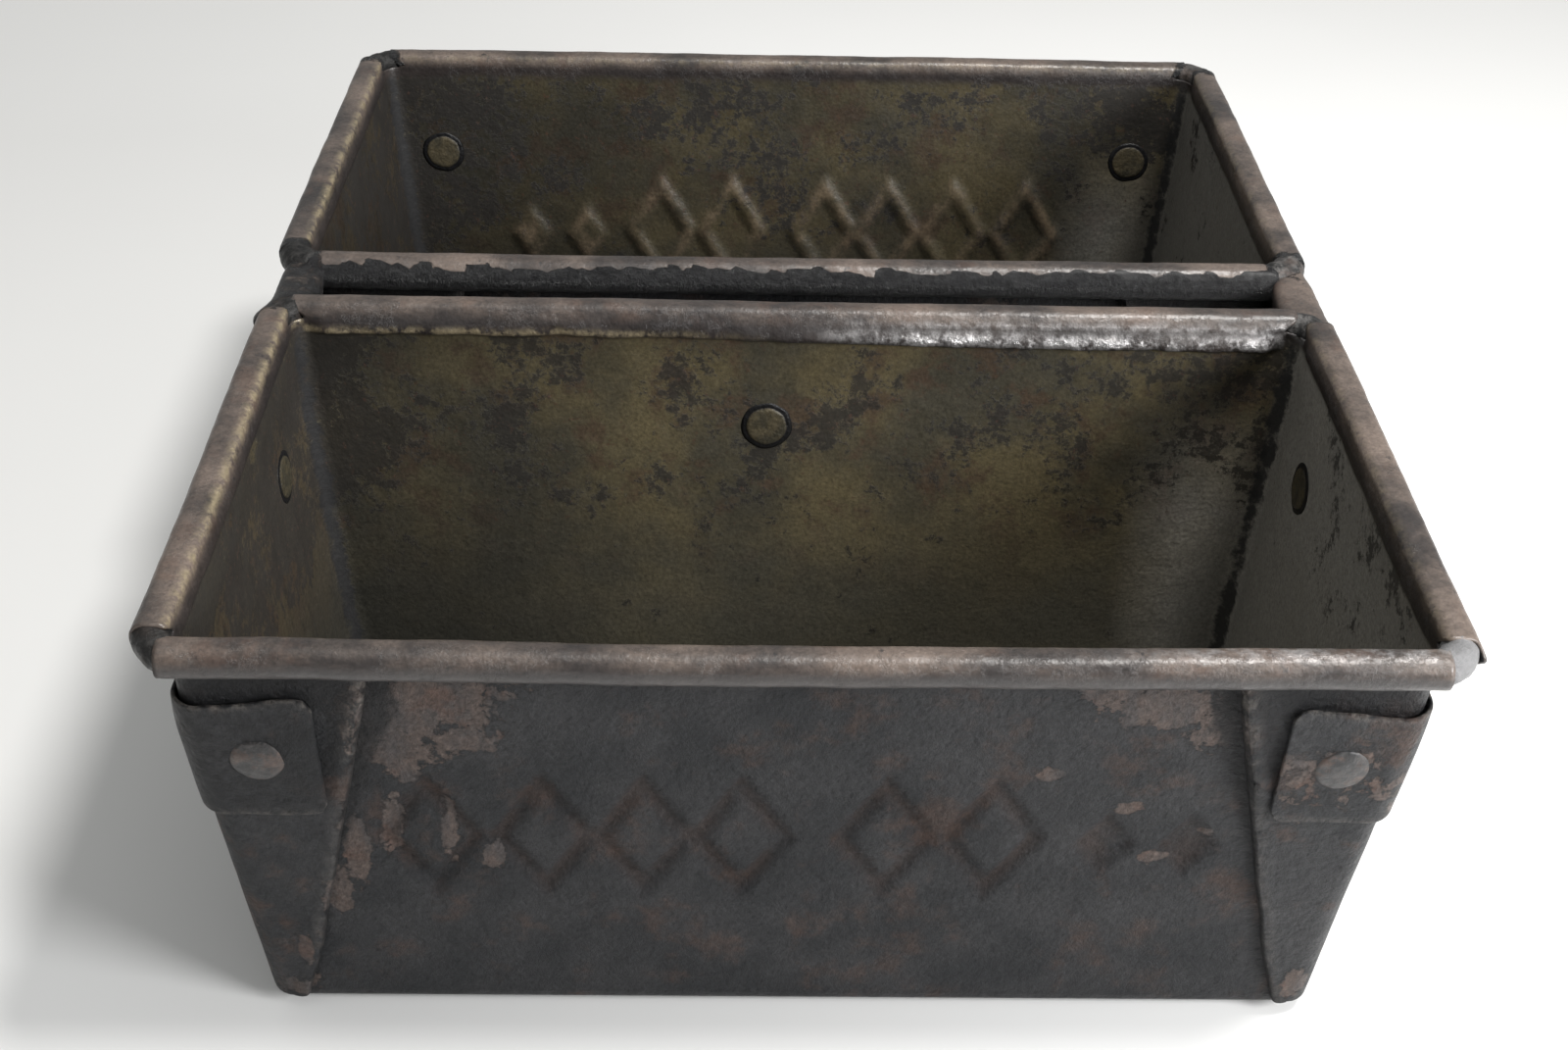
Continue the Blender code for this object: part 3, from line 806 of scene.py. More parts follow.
def band_point(end, kind, side, part, z):
    """A point on a strap's inner face, which follows the walls that it is riveted to."""
    centre_x = half_length(z) + SHEET + GAP - BAND_RADIUS
    centre_y = PAN_Y["rear"] + half_width(z) + SHEET + EAR_THICKNESS + GAP - BAND_RADIUS
    if kind == "tab":
        x, y, out_x, out_y = TAB_END + (centre_x - TAB_END) * part, centre_y + BAND_RADIUS, 0.0, 1.0
    elif kind == "arc":
        angle = 0.5 * math.pi * (1 - part)
        out_x, out_y = math.cos(angle), math.sin(angle)
        x, y = centre_x + BAND_RADIUS * out_x, centre_y + BAND_RADIUS * out_y
    else:
        x, y, out_x, out_y = centre_x + BAND_RADIUS, centre_y * abs(part), 1.0, 0.0
        side = math.copysign(1, part)
    x, y = end * x, side * y
    seed = SEEDS["rear" if side > 0 else "front"]
    held = smooth(8 * MM, 18 * MM, abs(y))
    warp = held * wall_shift(x, y, z, out_x, seed)
    warp += 0.05 * MM + 0.14 * MM * (1 + wave(x, y, z, 13 * MM, 71.0))
    warp += (1 - held) * 0.3 * MM * wave(0, y, z, 30 * MM, 5.0)
    return x + end * out_x * warp, y + side * out_y * warp, z


def make_band(end_name):
    end = ENDS[end_name]
    columns = []
    for kind, side, part in band_places():
        low, high = BAND_LOW, BAND_HIGH
        if kind == "tab":
            from_end = (half_length(BAND_HIGH) - BAND_RADIUS - TAB_END) * part
            short = max(0.0, TAB_CORNER - from_end)
            cut = TAB_CORNER - math.sqrt(max(0.0, TAB_CORNER ** 2 - short ** 2))
            low, high = low + cut, high - cut + TAB_RISE * (1 - part)
        elif kind == "end":
            away = abs(part) * (PAN_Y["rear"] + half_width(BAND_HIGH))
            under_rolls = RIM_HEIGHT - CURL_RADIUS - 0.4 * MM
            high += (under_rolls - high) * smooth(*BAND_CLIMB, away)
            high += (CURL_RADIUS - 2 * MM) * smooth(*BAND_PEAK, away)
        column = []
        for row in range(BAND_ROWS + 1):
            z = low + (high - low) * row / BAND_ROWS
            place = band_point(end, kind, side, part, z)
            ragged = 0.35 * MM * wave(place[0], place[1], 0, 6 * MM, 33.0)
            column.append(band_point(end, kind, side, part, z - ragged * (1 - 2 * row / BAND_ROWS)))
        columns.append(column)
    band = grid(f"{end_name}_band", columns)
    x, y, z = np.array(columns).reshape(-1, 3).T
    rows = np.arange(BAND_ROWS + 1)
    edges = fade(np.minimum(rows, BAND_ROWS - rows), 0.9)
    paint(band, "edge_wear_and_highlight", np.tile(edges, len(columns)))
    front_tab = y < FRONT_TABS
    # the right front tab is lighter, as bare glaze and partly painted light
    paint(band, "bare_and_lit", 0.45 * fade(z - 0.072, 0.014) * (x > 0) * front_tab)
    paint(band, "soot_and_shade", 0.55 * (x < 0) * front_tab)
    tidy_mesh(band)
    turn_sheet(band, band.data.polygons[0], band.data.polygons[0].center)
    solidify(band, BAND_THICKNESS, 1.0)
    soften(band, 0.5 * MM)
    return band


def make_bridge(end_name):
    """The strip at rim height that closes the gap between the two tins' corners."""
    end = ENDS[end_name]
    first, last = -GAP_RIM_Y - 7.0 * MM, GAP_RIM_Y + 1.5 * MM
    sections = []
    for row in range(BRIDGE_ROWS + 1):
        part = row / BRIDGE_ROWS
        y = first + (last - first) * part
        widening = max(0.0, math.sin(math.pi * part)) ** 0.6
        half = (3.1 + 1.9 * widening) * MM
        centre = RIM_HALF_LENGTH - BRIDGE_INSET[end_name] * smooth(0.0, 0.4, part)
        centre -= (0.6 + 1.0 * widening) * MM
        section = []
        for side in range(BRIDGE_SIDES):
            angle = math.tau * side / BRIDGE_SIDES
            along, up = math.cos(angle), math.sin(angle)
            square = (abs(along) ** 3 + abs(up) ** 3) ** (-1 / 3)
            near = (along * half, y, up * half)
            size = square * (1.0 + 0.05 * (wave(*near, 6 * MM, 9.0) + lumps(*near, 2.5 * MM, 4.0)))
            section.append((end * (centre + half * size * along), y,
                            RIM_HEIGHT - BRIDGE_SINK + BRIDGE_THICKNESS / 2 * size * up))
        sections.append(section)
    bridge = loft(f"gap_bridge_{end_name}", sections)
    parts = np.repeat(np.arange(BRIDGE_ROWS + 1), BRIDGE_SIDES) / BRIDGE_ROWS
    paint(bridge, "rim", np.ones(len(parts)))
    paint(bridge, "crust", 0.5 * share((parts - 0.5) / 0.4) if end > 0 else np.full(len(parts), 0.6))
    tidy_mesh(bridge)
    return bridge


def channel_profile():
    """Half of the channel's section, from the top of its rear flange to near its middle."""
    height = TIE_HIGH[2] - TIE_LOW[2] - TIE_BEND
    profile = []
    for row in range(TIE_ROWS + 1):
        z = TIE_HIGH[2] - height * row / TIE_ROWS
        profile.append((PAN_Y["rear"] - half_width(z) - SHEET - GAP, z))
    corner_y = profile[-1][0] - TIE_BEND
    for row in range(1, FOLD_STEPS + 1):
        angle = 0.5 * math.pi * row / FOLD_STEPS
        y = corner_y + TIE_BEND * math.cos(angle)
        profile.append((y, TIE_LOW[2] + TIE_BEND * (1 - math.sin(angle))))
    return profile + [(corner_y * part, TIE_LOW[2]) for part in (0.6, 0.2)]


def make_channel():
    """The channel between the tins: a flange against each wall, joined underneath."""
    half = channel_profile()
    whole = half + [(-y, z) for y, z in reversed(half)]
    columns = []
    for step in range(TIE_STEPS + 1):
        x = TIE_LOW[0] + (TIE_HIGH[0] - TIE_LOW[0]) * step / TIE_STEPS
        column = []
        for y, z in whole:
            sunk = 0.25 * MM * (1 + wave(x, y, z, 12 * MM, 8.0))
            on_flange = z > TIE_LOW[2] + TIE_BEND
            column.append((x, y - math.copysign(sunk, y) * on_flange, z + 0.2 * sunk))
        columns.append(column)
    channel = grid("tie_channel", columns)
    steps = np.arange(TIE_STEPS + 1)
    edges = fade(np.minimum(steps, TIE_STEPS - steps), 1.2)
    paint(channel, "edge_wear_and_highlight", np.repeat(edges, len(whole)))
    tidy_mesh(channel)
    turn_sheet(channel, channel.data.polygons[0], (0, 1, 0))
    solidify(channel, TIE_THICKNESS, -1.0)
    soften(channel, 0.25 * MM)
    return channel


def rivet_profile(grip):
    """(radius, height above the wall's inner face, grease) from the domed head inward."""
    profile = []
    for step in range(1, DOME_STEPS + 1):
        angle = math.radians(86.0) * step / DOME_STEPS
        profile.append((HEAD_RADIUS * math.sin(angle), grip + DOME_HEIGHT * math.cos(angle) ** 0.8, 0.0))
    profile += [
        (1.04 * HEAD_RADIUS, grip + 0.05 * MM, 1.0),
        (SHANK_RADIUS, grip - 0.1 * MM, 1.0),
        (SHANK_RADIUS, -0.1 * MM, 1.0),
        (6.1 * MM, -0.02 * MM, 1.0),
        (5.6 * MM, -0.18 * MM, 1.0),
        (5.1 * MM, -0.26 * MM, 1.0),
        (4.85 * MM, -0.22 * MM, 1.0),
        (4.70 * MM, -0.36 * MM, 0.4),
        (4.45 * MM, -0.50 * MM, 0.0),
        (4.0 * MM, -0.55 * MM, 0.0),
        (2.6 * MM, -0.56 * MM, 0.0),
        (1.0 * MM, -0.56 * MM, 0.0),
        (0.2 * MM, -0.56 * MM, 0.0),
    ]
    return profile


def make_rivet(name, point, normal, grip):
    across = normal.cross(Vector((0, 0, 1))).normalized()
    upward = across.cross(normal)
    seed = 7.0 * point.x + 3.0 * point.y
    sections, grease, within = [], [], []
    for radius, height, greasy in rivet_profile(grip):
        section = []
        for side in range(RIVET_SIDES):
            angle = math.tau * side / RIVET_SIDES
            turn = across * math.cos(angle) + upward * math.sin(angle)
            uneven = 1.0 + 0.05 * noise.noise(Vector((2 * turn.x, 2 * turn.y + seed * 90, 2 * turn.z)))
            where = point + turn * radius
            lift = 0.22 * MM * wave(*where, 2.4 * MM, 12.0) * (height > grip) * (radius < 4.6 * MM)
            section.append(where + turn * radius * (uneven - 1.0) + normal * (height + lift))
            grease.append(greasy)
            within.append(float(height < 0.0))
        sections.append(section)
    stud = loft(name, sections)
    paint(stud, "crust", grease)
    paint(stud, "within", within)
    tidy_mesh(stud)
    return stud


def long_wall_rivet(kind, place, pan, facing, grip):
    """A rivet through the long wall of a tin that faces that way, -1 or 1 along y."""
    middle = middle_of(f"{kind}_rivet_{place}")
    point = Vector((middle.x, PAN_Y[pan] + facing * half_width(middle.z), middle.z))
    normal = Vector((0, facing, -SIDE_TAPER / RIM_HEIGHT)).normalized()
    return kind, place, pan, point, normal, grip


def end_wall_rivet(place, pan, end, grip):
    middle = middle_of(f"end_rivet_{place}")
    point = Vector((end * half_length(middle.z), middle.y, middle.z))
    normal = Vector((end, 0, -END_TAPER / RIM_HEIGHT)).normalized()
    return "end", place, pan, point, normal, grip


def rivets():
    """Each rivet's kind, place, tin, point on the wall's inner face, normal and grip."""
    for pan, side in OUTWARD.items():
        for end_name, end in ENDS.items():
            place = f"{pan}_{end_name}"
            yield long_wall_rivet("tab", place, pan, side, SHEET + EAR_THICKNESS + GAP + BAND_THICKNESS)
            yield end_wall_rivet(place, pan, end, SHEET + GAP + BAND_THICKNESS)
        yield long_wall_rivet("tie", pan, pan, -side, SHEET + GAP + TIE_THICKNESS)


# ---------------------------------------------------------------- materials

class Value:
    """A number or colour that varies over a surface, to be added, taken away and multiplied."""

    def __init__(self, look, socket):
        self.look = look
        self.socket = socket

    def __add__(self, other):
        return self.look.math("ADD", self, other)

    def __sub__(self, other):
        return self.look.math("SUBTRACT", self, other)

    def __rsub__(self, other):
        return self.look.math("SUBTRACT", other, self)

    def __mul__(self, other):
        return self.look.math("MULTIPLY", self, other)


class Look:
    """A material's nodes, with a short call for each kind that the looks below use."""

    def __init__(self, name):
        self.material = bpy.data.materials.new(name)
        self.material.use_nodes = True
        self.tree = self.material.node_tree
        self.shader = self.tree.nodes["Principled BSDF"]
        self.place = self.node("TexCoord", {}, "Object")

    def node(self, kind, inputs, output=0, **settings):
        """An output of a new node."""
        node = self.tree.nodes.new(f"ShaderNode{kind}")
        for name, value in settings.items():
            setattr(node, name, value)
        for name, value in inputs.items():
            self.feed(node.inputs[name], value)
        return Value(self, node.outputs[output])

    def feed(self, socket, value):
        if isinstance(value, Value):
            self.tree.links.new(value.socket, socket)
        elif socket.type == "RGBA":
            socket.default_value = (*value, 1.0)
        else:
            socket.default_value = value

    def math(self, operation, *values):
        return self.node("Math", dict(enumerate(values)), operation=operation)

    def step(self, value, low, high):
        """0 below low and 1 above high, or the other way round when high is the lower."""
        ends = (high, low, 1.0, 0.0) if high < low else (low, high, 0.0, 1.0)
        names = ("Value", "From Min", "From Max", "To Min", "To Max")
        inputs = dict(zip(names, (value, *ends)))
        return self.node("MapRange", inputs, interpolation_type="SMOOTHSTEP")

    def blend(self, amount, first, second):
        """A colour from first, where amount is 0, to second, where it is 1."""
        return self.node("Mix", {"Factor": amount, 6: first, 7: second}, 2, data_type="RGBA")

    def shade(self, colour, amount):
        """A colour made lighter or darker by a factor."""
        return self.node("VectorMath", {0: colour, "Scale": amount}, operation="SCALE")

    def spread(self, size, shift, stretch=(1.0, 1.0, 1.0)):
        """The place on the surface for a texture whose patches are size metres across."""
        scale = [amount / size for amount in stretch]
        return self.node("VectorMath", {0: self.place, 1: scale, 2: shift}, operation="MULTIPLY_ADD")

    def noise(self, size, seed, detail=5.0, rough=0.6, warp=0.0, stretch=(1.0, 1.0, 1.0)):
        """Cloudy noise around 0.5."""
        place = self.spread(size, (1.7 * seed, -2.3 * seed, 0.9 * seed), stretch)
        inputs = {"Vector": place, "Scale": 1.0, "Detail": detail, "Roughness": rough, "Distortion": warp}
        return self.node("TexNoise", inputs, "Fac")

    def cells(self, size, seed):
        """Distance to the nearest of scattered points."""
        place = self.spread(size, (seed, 2.1 * seed, -seed))
        return self.node("TexVoronoi", {"Vector": place, "Scale": 1.0}, "Distance")

    def worn(self, name):
        """What is painted on the mesh under that name."""
        return self.node("Attribute", {}, "Fac", attribute_name=name)

    def along(self, axis):
        """A coordinate of the object's frame, in metres."""
        return self.node("SeparateXYZ", {0: self.place}, axis)

    def relief(self, *layers):
        """Bumps, each a height from 0 to 1 and how deep that is in metres."""
        below = {}
        for height, depth in layers:
            normal = self.node("Bump", {"Height": height, "Distance": depth, **below})
            below = {"Normal": normal}
        self.feed(self.shader.inputs["Normal"], normal)

    def finish(self, colour, roughness, metallic=0.0):
        self.feed(self.shader.inputs["Base Color"], colour)
        self.feed(self.shader.inputs["Roughness"], roughness)
        self.feed(self.shader.inputs["Metallic"], metallic)
        return self.material


BLACK = (0.008, 0.008, 0.009)
CHARCOAL = (0.012, 0.013, 0.015)
ASH = (0.026, 0.026, 0.028)
BROWN_BLACK = (0.046, 0.025, 0.017)
FLAKE_GREY = (0.052, 0.045, 0.044)
MAUVE = (0.080, 0.060, 0.052)
FLAKE_RED = (0.090, 0.048, 0.034)
RUST = (0.105, 0.050, 0.028)
WORN_EDGE_AND_HIGHLIGHT = (0.150, 0.135, 0.122)
OLIVE = (0.100, 0.081, 0.043)
DULL_OLIVE = (0.048, 0.043, 0.030)
BROWN = (0.060, 0.038, 0.025)
RED_FLECK = (0.070, 0.034, 0.022)
LOW_GREY_AND_SHEEN = (0.078, 0.074, 0.058)
LEFT_SHADE = (0.018, 0.018, 0.016)
DUST_AND_SHEEN = (0.310, 0.300, 0.275)
SCORCH = (0.010, 0.008, 0.006)
PRESSED_TAN = (0.150, 0.110, 0.072)
RIM_DARK = (0.026, 0.022, 0.021)
RIM_BROWN = (0.125, 0.097, 0.081)
RIM_RUST = (0.085, 0.050, 0.036)
RIM_UNDERSIDE_SHADE = (0.019, 0.016, 0.016)
RIM_SOOT = (0.016, 0.016, 0.017)
CRUST_DARK = (0.004, 0.004, 0.005)
CRUST_GREY = (0.022, 0.022, 0.023)
TAN = (0.34, 0.28, 0.18)
BRIGHT_STEEL_HIGHLIGHT = (0.42, 0.41, 0.41)
WIRE_DARK = (0.018, 0.018, 0.018)
WIRE_GREY = (0.075, 0.072, 0.070)
WIRE_BROWN = (0.080, 0.062, 0.054)
WIRE_HIGHLIGHT = (0.230, 0.230, 0.235)
RIVET_DARK = (0.014, 0.014, 0.015)
RIVET_BROWN = (0.040, 0.036, 0.035)
RIVET_OLIVE = (0.086, 0.071, 0.043)
TABLE_DIM = (0.80, 0.80, 0.795)
TABLE_BRIGHT = (0.86, 0.86, 0.855)


def inside_look():
    """Inside of a tin and its rolled rim: oily olive-brown sheet with scorches and greasy seams."""
    look = Look("seasoned_inside")
    sheet, scorch = sheet_colour(look)
    rolled, coat, bright = rim_colour(look)
    rim = look.worn("rim")
    satin = look.noise(8 * MM, 13, 5) * 0.34 + 0.26 + scorch * 0.28
    rolled_rough = (look.noise(4 * MM, 14, 6) * 0.42 + 0.16) * (bright * -0.35 + 1.0)
    rough = (1.0 - rim) * satin + rim * rolled_rough
    look.shader.inputs["Coat Weight"].default_value = 0.12
    look.shader.inputs["Coat Roughness"].default_value = 0.32
    look.relief(
        (look.noise(4.2 * MM, 16, 3, 0.5), 0.25 * MM),
        (look.noise(1.1 * MM, 15, 4, 0.6), 0.14 * MM),
        (look.noise(1.6 * MM, 17, 6, 0.7) * coat, 2.2 * MM),
        (look.noise(2.4 * MM, 18, 5, 0.6) * look.worn("polish"), 0.9 * MM),
        (scorch, 0.04 * MM),
    )
    return look.finish(look.blend(rim, sheet, rolled), rough, bright * 0.8)


def sheet_colour(look):
    """Colour of the tins' inside, with painted shade and sheen, and where it is scorched black."""
    end_wall, dust_and_sheen = look.worn("end_wall"), look.worn("dust_and_sheen")
    upper = look.step(look.along("Z"), 0.030, 0.060)
    colour = look.blend(look.step(look.noise(30 * MM, 1, 5), 0.36, 0.66), DULL_OLIVE, OLIVE)
    stain = look.step(look.noise(13 * MM, 2, 7, 0.68), 0.50, 0.62)
    colour = look.blend(stain * (upper * 0.5 + 0.2), colour, BROWN)
    colour = look.blend(end_wall * 0.40, colour, BROWN)
    streak = look.step(look.noise(2.2 * MM, 19, 6, 0.7, stretch=(1.0, 1.0, 0.16)), 0.52, 0.66)
    colour = look.blend(streak * end_wall * 0.6, colour, SCORCH)
    # greyer low down, lightened there as a painted sheen
    low = look.step(look.along("Z"), 0.060, 0.012)
    colour = look.blend(low * 0.6, colour, LOW_GREY_AND_SHEEN)
    # painted shade towards the left end
    colour = look.blend(look.worn("left_shade") * 0.70, colour, LEFT_SHADE)
    # dust and painted sheen on the right end wall, and painted light on the shaded corner beside it
    colour = look.blend(dust_and_sheen * 0.8, colour, DUST_AND_SHEEN)

    level = look.noise(2.8 * MM, 3, 7, 0.78) * 0.62 + look.noise(19 * MM, 4, 4) * 0.62
    level = level + look.step(look.along("Z"), 0.030, 0.068) * 0.075
    level = level + look.worn("blotch") * 0.15 - end_wall * 0.06 - dust_and_sheen * 0.10
    scorch = look.step(level, 0.715, 0.775)
    # painted shade: the rear tin's inside is darkened overall
    rear = look.step(look.along("Y"), -2 * MM, 2 * MM)
    colour = look.shade(colour, rear * -0.36 + 1.0)
    colour = look.blend(scorch * (rear * 0.13 + 0.82), colour, SCORCH)
    fleck = look.step(look.noise(2.0 * MM, 23, 5, 0.75), 0.60, 0.67)
    colour = look.blend(fleck * upper * 0.55, colour, RED_FLECK)

    seam = look.step(look.worn("seam") + look.noise(5 * MM, 5, 7, 0.7) * 1.1, 1.12, 1.36)
    colour = look.blend(seam * 0.93, colour, BLACK)
    pressed = look.worn("pressed") * look.step(look.noise(7 * MM, 6), 0.35, 0.65)
    colour = look.blend(pressed * 0.6, colour, PRESSED_TAN)
    grain = look.noise(0.9 * MM, 7, 3, 0.75) * 1.7 + 0.15
    return look.shade(colour, grain), look.math("MAXIMUM", scorch, seam)


def rim_colour(look):
    """Colour of the rolled rims, with painted shade on their undersides, where crust coats them, and where
    they are worn bright, with a painted highlight on the polished parts.
    """
    cloud = look.step(look.noise(11 * MM, 8, 7, 0.65, stretch=(0.4, 0.5, 1.0)), 0.34, 0.68)
    colour = look.blend(cloud, RIM_DARK, RIM_BROWN)
    rust = look.step(look.noise(10 * MM, 9, 6), 0.54, 0.68)
    colour = look.blend(rust * 0.35, colour, RIM_RUST)
    # painted shade: each roll is darkened on its underside
    underside_shade = look.step(look.along("Z"), RIM_HEIGHT + 2.0 * MM, RIM_HEIGHT - 1.0 * MM)
    colour = look.blend(underside_shade * 0.85, colour, RIM_UNDERSIDE_SHADE)
    soot_and_shade = look.step(look.noise(3.2 * MM, 10, 8, 0.72), 0.60, 0.68)
    colour = look.blend(soot_and_shade * 0.8, colour, RIM_SOOT)
    crest = look.worn("crest") * look.step(look.noise(3.0 * MM, 11, 6, 0.7), 0.38, 0.60)
    colour = look.blend(crest * 0.8, colour, TAN)
    # polished steel, partly a painted highlight where the key light gleams
    polish = look.worn("polish") * look.step(look.noise(3.4 * MM, 22, 5, 0.65), 0.40, 0.62)
    colour = look.blend(polish, colour, BRIGHT_STEEL_HIGHLIGHT)
    coat = look.step(look.worn("crust") + look.noise(2.6 * MM, 12, 6, 0.7) * 0.8, 0.88, 1.02)
    gritty = look.step(look.noise(1.8 * MM, 21, 5, 0.7), 0.45, 0.66)
    colour = look.blend(coat, colour, look.blend(gritty, CRUST_DARK, CRUST_GREY))
    grain = look.noise(0.8 * MM, 20, 3, 0.7) * 1.4 + 0.30
    return look.shade(colour, grain), coat, look.math("MAXIMUM", polish, crest * 0.5)


def outside_look(name, seed, soot_and_shade_reach=0.92, rust=0.25, edge_wear_and_highlight=False):
    """Outside of the tins and straps: matt baked carbon, flaked to a mauve-brown base, with soot, painted
    shadow and painted highlights, and some patches lightened partly as painted light.
    """
    look = Look(name)
    cloud = look.step(look.noise(18 * MM, seed, 6, 0.62), 0.34, 0.66)
    colour = look.blend(cloud, CHARCOAL, ASH)
    rusty = look.step(look.noise(14 * MM, seed + 1, 8, 0.70), 0.52, 0.66)
    colour = look.blend(rusty * rust, colour, RUST)
    pressed = look.worn("pressed") * look.step(look.noise(8 * MM, seed + 12, 5), 0.30, 0.60)
    colour = look.blend(pressed * 0.36, colour, BROWN_BLACK)

    jag = look.noise(3.6 * MM, seed + 2, 10, 0.70, warp=0.25) - 0.5
    wide = look.noise(9 * MM, seed + 13, 4) - 0.5
    level = jag * 1.7 + wide * 1.2 + look.worn("bare_and_lit")
    flaked = look.step(level, 0.50, 0.54)
    lip = look.step(level, 0.38, 0.50) * (1.0 - flaked)
    streaky = look.noise(5 * MM, seed + 3, 6, 0.65, stretch=(1.0, 1.0, 0.4))
    base = look.blend(look.step(streaky, 0.38, 0.62), FLAKE_GREY, MAUVE)
    stain = look.step(look.noise(9 * MM, seed + 4, 6), 0.53, 0.66)
    base = look.blend(stain * 0.5, base, FLAKE_RED)
    colour = look.blend(flaked, colour, base)
    # painted shadow: a dark line round the edge of each flaked patch
    colour = look.blend(lip * 0.5, colour, BLACK)

    # soot, with painted shadow under the rolls and in the ears' crevices
    ragged = (look.noise(3.2 * MM, seed + 5, 7, 0.68) - 0.5) * 1.2
    dark = look.step(look.worn("soot_and_shade") + ragged, 0.28, 0.72)
    colour = look.blend(dark * soot_and_shade_reach, colour, BLACK)
    # worn edges, with a painted highlight along the ears' folds
    if edge_wear_and_highlight:
        broken = look.step(look.noise(2.4 * MM, seed + 6, 6, 0.68), 0.40, 0.62)
        colour = look.blend(look.worn("edge_wear_and_highlight") * broken * 0.6, colour, WORN_EDGE_AND_HIGHLIGHT)
    colour = look.shade(colour, look.noise(1.1 * MM, seed + 7, 5, 0.8) * 2.8 - 0.42)
    look.shader.inputs["Specular IOR Level"].default_value = 0.24
    look.relief(
        (look.noise(6.5 * MM, seed + 11, 3, 0.5), 0.60 * MM),
        (look.noise(2.2 * MM, seed + 9, 6, 0.72), 1.4 * MM),
        (look.step(look.cells(1.9 * MM, seed + 10), 0.0, 0.5), 0.12 * MM),
        (1.0 - flaked, 0.30 * MM),
    )
    return look.finish(colour, look.noise(5 * MM, seed + 8, 6, 0.65) * 0.50 + 0.20)


def wire_look():
    """Bare wire at the rim's corners under lumpy crust, with painted light: darker to the left, lighter to
    the right and a painted highlight at the front right.
    """
    look = Look("encrusted_wire")
    lumpy = look.noise(2.2 * MM, 41, 7, 0.68)
    colour = look.blend(look.step(lumpy, 0.40, 0.62), WIRE_DARK, WIRE_GREY)
    brown = look.step(look.noise(7 * MM, 42, 5), 0.50, 0.64)
    colour = look.blend(brown * 0.6, colour, WIRE_BROWN)
    colour = look.shade(colour, look.noise(0.7 * MM, 43, 3) * 1.4 + 0.3)
    # painted light: darker to the left, lighter to the right, with a painted highlight at the front right
    right = look.step(look.along("X"), -0.05, 0.08)
    front_right_highlight = right * look.step(look.along("Y"), -0.09, -0.12)
    colour = look.shade(colour, right * 0.65 + 0.45)
    colour = look.blend(front_right_highlight * 0.65, colour, WIRE_HIGHLIGHT)
    look.shader.inputs["Specular IOR Level"].default_value = 0.30
    look.relief(
        (lumpy, 0.6 * MM),
        (look.noise(0.9 * MM, 45, 4, 0.7), 0.2 * MM),
    )
    return look.finish(colour, look.noise(1.4 * MM, 44, 5) * 0.8 + 0.06, 0.15)


def rivet_look():
    """Rivets: crusty dark heads outside, oily steel in a ring of baked grease inside."""
    look = Look("rivet_steel_worn")
    within = look.worn("within")
    outer = look.blend(look.step(look.noise(3 * MM, 51, 6, 0.68), 0.4, 0.62), RIVET_DARK, RIVET_BROWN)
    rusty = look.step(look.noise(5 * MM, 52, 6, 0.7), 0.50, 0.62)
    outer = look.blend(rusty * 0.32, outer, RUST)
    inner = look.blend(look.step(look.noise(4 * MM, 57, 6), 0.4, 0.62), DULL_OLIVE, RIVET_OLIVE)
    colour = look.blend(within, outer, inner)
    colour = look.blend(look.worn("crust") * within, colour, BLACK)
    colour = look.shade(colour, look.noise(0.7 * MM, 53, 3) * 1.4 + 0.30)
    look.relief(
        (look.noise(1.8 * MM, 55, 5, 0.6), 0.35 * MM),
        (look.noise(0.7 * MM, 56, 3), 0.08 * MM),
    )
    return look.finish(colour, look.noise(2 * MM, 54, 5) * 0.4 + 0.22, within * 0.3)


# ---------------------------------------------------------------- put together

INSIDE = inside_look()
OUTSIDE = outside_look("baked_outside", 20)
STRAP = outside_look("strap_steel_baked", 80, soot_and_shade_reach=0.8, rust=0.30, edge_wear_and_highlight=True)
WIRE = wire_look()
RIVET = rivet_look()

for pan_name in OUTWARD:
    place_piece(make_tin(pan_name), f"{pan_name}_pan", "pan_sheet", INSIDE, OUTSIDE)
    for fold_side in OUTWARD:
        for fold_end in ENDS:
            place_piece(make_ear(pan_name, fold_side, fold_end), f"{pan_name}_pan", "pan_sheet", STRAP)
    place_piece(make_wire(pan_name), f"{pan_name}_rim_wire", "rim_wire", WIRE)
for strap_end in ENDS:
    place_piece(make_band(strap_end), f"{strap_end}_strap", "strap_steel", STRAP)
    place_piece(make_bridge(strap_end), f"{strap_end}_strap", "strap_steel", INSIDE)
place_piece(make_channel(), "centre_tie", "strap_steel", STRAP)
for kind, place, owner, spot, facing, grip in rivets():
    bowed = spot + facing * wall_warp(*spot, SEEDS[owner])
    stud = make_rivet(f"{kind}_stud_{place}", bowed, facing, grip)
    place_piece(stud, f"{kind}_rivet_{place}", "rivet_steel", RIVET)


# ---------------------------------------------------------------- stage, light, camera

FLOOR_SIZE = 8.0
ROOM_COLOUR = (0.80, 0.81, 0.80, 1.0)
ROOM_STRENGTH = 0.42


def make_floor():
    """A pale table top, faintly mottled."""
    bpy.ops.mesh.primitive_plane_add(size=FLOOR_SIZE, location=(0, 0, 0))
    floor = bpy.context.object
    floor.name = "floor"
    look = Look("pale_table")
    colour = look.blend(look.noise(0.25, 71, 3), TABLE_DIM, TABLE_BRIGHT)
    floor.data.materials.append(look.finish(colour, 0.55))


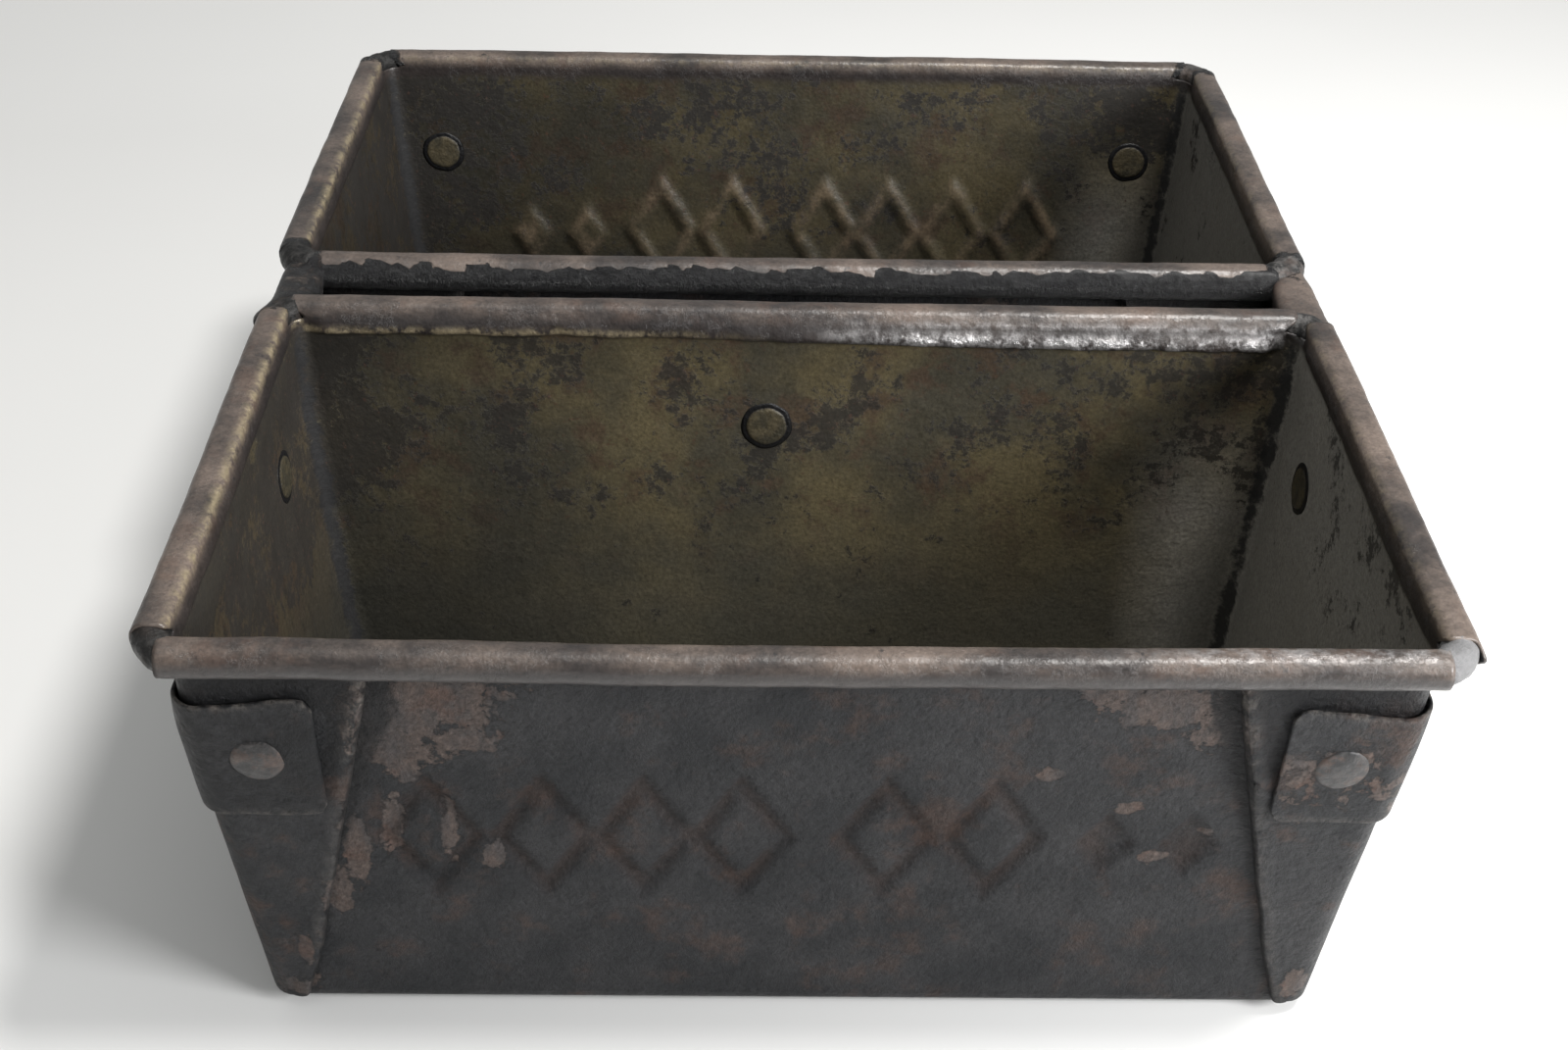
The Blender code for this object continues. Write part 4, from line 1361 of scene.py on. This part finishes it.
# Round lights: name, place, what it is aimed at, width, watts, colour.
LIGHTS = (
    ("key", (0.31, -0.11, 0.92), (0, 0, 0.05), 0.20, 8.6, (1.0, 0.985, 0.96)),
    ("overhead", (-0.05, -0.10, 1.30), (0, 0, 0), 1.40, 2.2, (1.0, 0.99, 0.96)),
    ("window", (0.46, -0.37, 0.30), (0.10, -0.12, 0.05), 0.24, 4.3, (1.0, 1.0, 1.0)),
)


def make_light(name, place, target, size, power, colour):
    data = bpy.data.lights.new(name, "AREA")
    data.shape = "DISK"
    data.size = size
    data.energy = power
    data.color = colour
    light = bpy.data.objects.new(name, data)
    light.location = place
    light.rotation_mode = "QUATERNION"
    light.rotation_quaternion = (Vector(target) - Vector(place)).to_track_quat("-Z", "Y")
    bpy.context.scene.collection.objects.link(light)


CAMERA_PLACE = (-0.0117, -0.4057, 0.3254)
CAMERA_PITCH = math.radians(35.57)      # below level
CAMERA_YAW = math.radians(-1.465)
CAMERA_ROLL = math.radians(1.524)
CAMERA_LENS = 45.0                      # in millimetres, like the sensor
SENSOR_WIDTH = 36.0


def make_camera():
    data = bpy.data.cameras.new("camera")
    data.lens = CAMERA_LENS
    data.sensor_width = SENSOR_WIDTH
    data.clip_start = 0.01
    camera = bpy.data.objects.new("camera", data)
    yaw = Matrix.Rotation(CAMERA_YAW, 4, "Z")
    tilt = Matrix.Rotation(math.radians(90.0) - CAMERA_PITCH, 4, "X")
    roll = Matrix.Rotation(CAMERA_ROLL, 4, "Z")
    camera.matrix_world = Matrix.Translation(CAMERA_PLACE) @ yaw @ tilt @ roll
    bpy.context.scene.collection.objects.link(camera)
    bpy.context.scene.camera = camera


def make_room():
    """Even, faintly cool light from all round."""
    world = bpy.data.worlds.new("room")
    world.use_nodes = True
    background = world.node_tree.nodes["Background"]
    background.inputs["Color"].default_value = ROOM_COLOUR
    background.inputs["Strength"].default_value = ROOM_STRENGTH
    bpy.context.scene.world = world


make_floor()
make_room()
for light_facts in LIGHTS:
    make_light(*light_facts)
make_camera()
bpy.context.scene.view_settings.view_transform = "Standard"
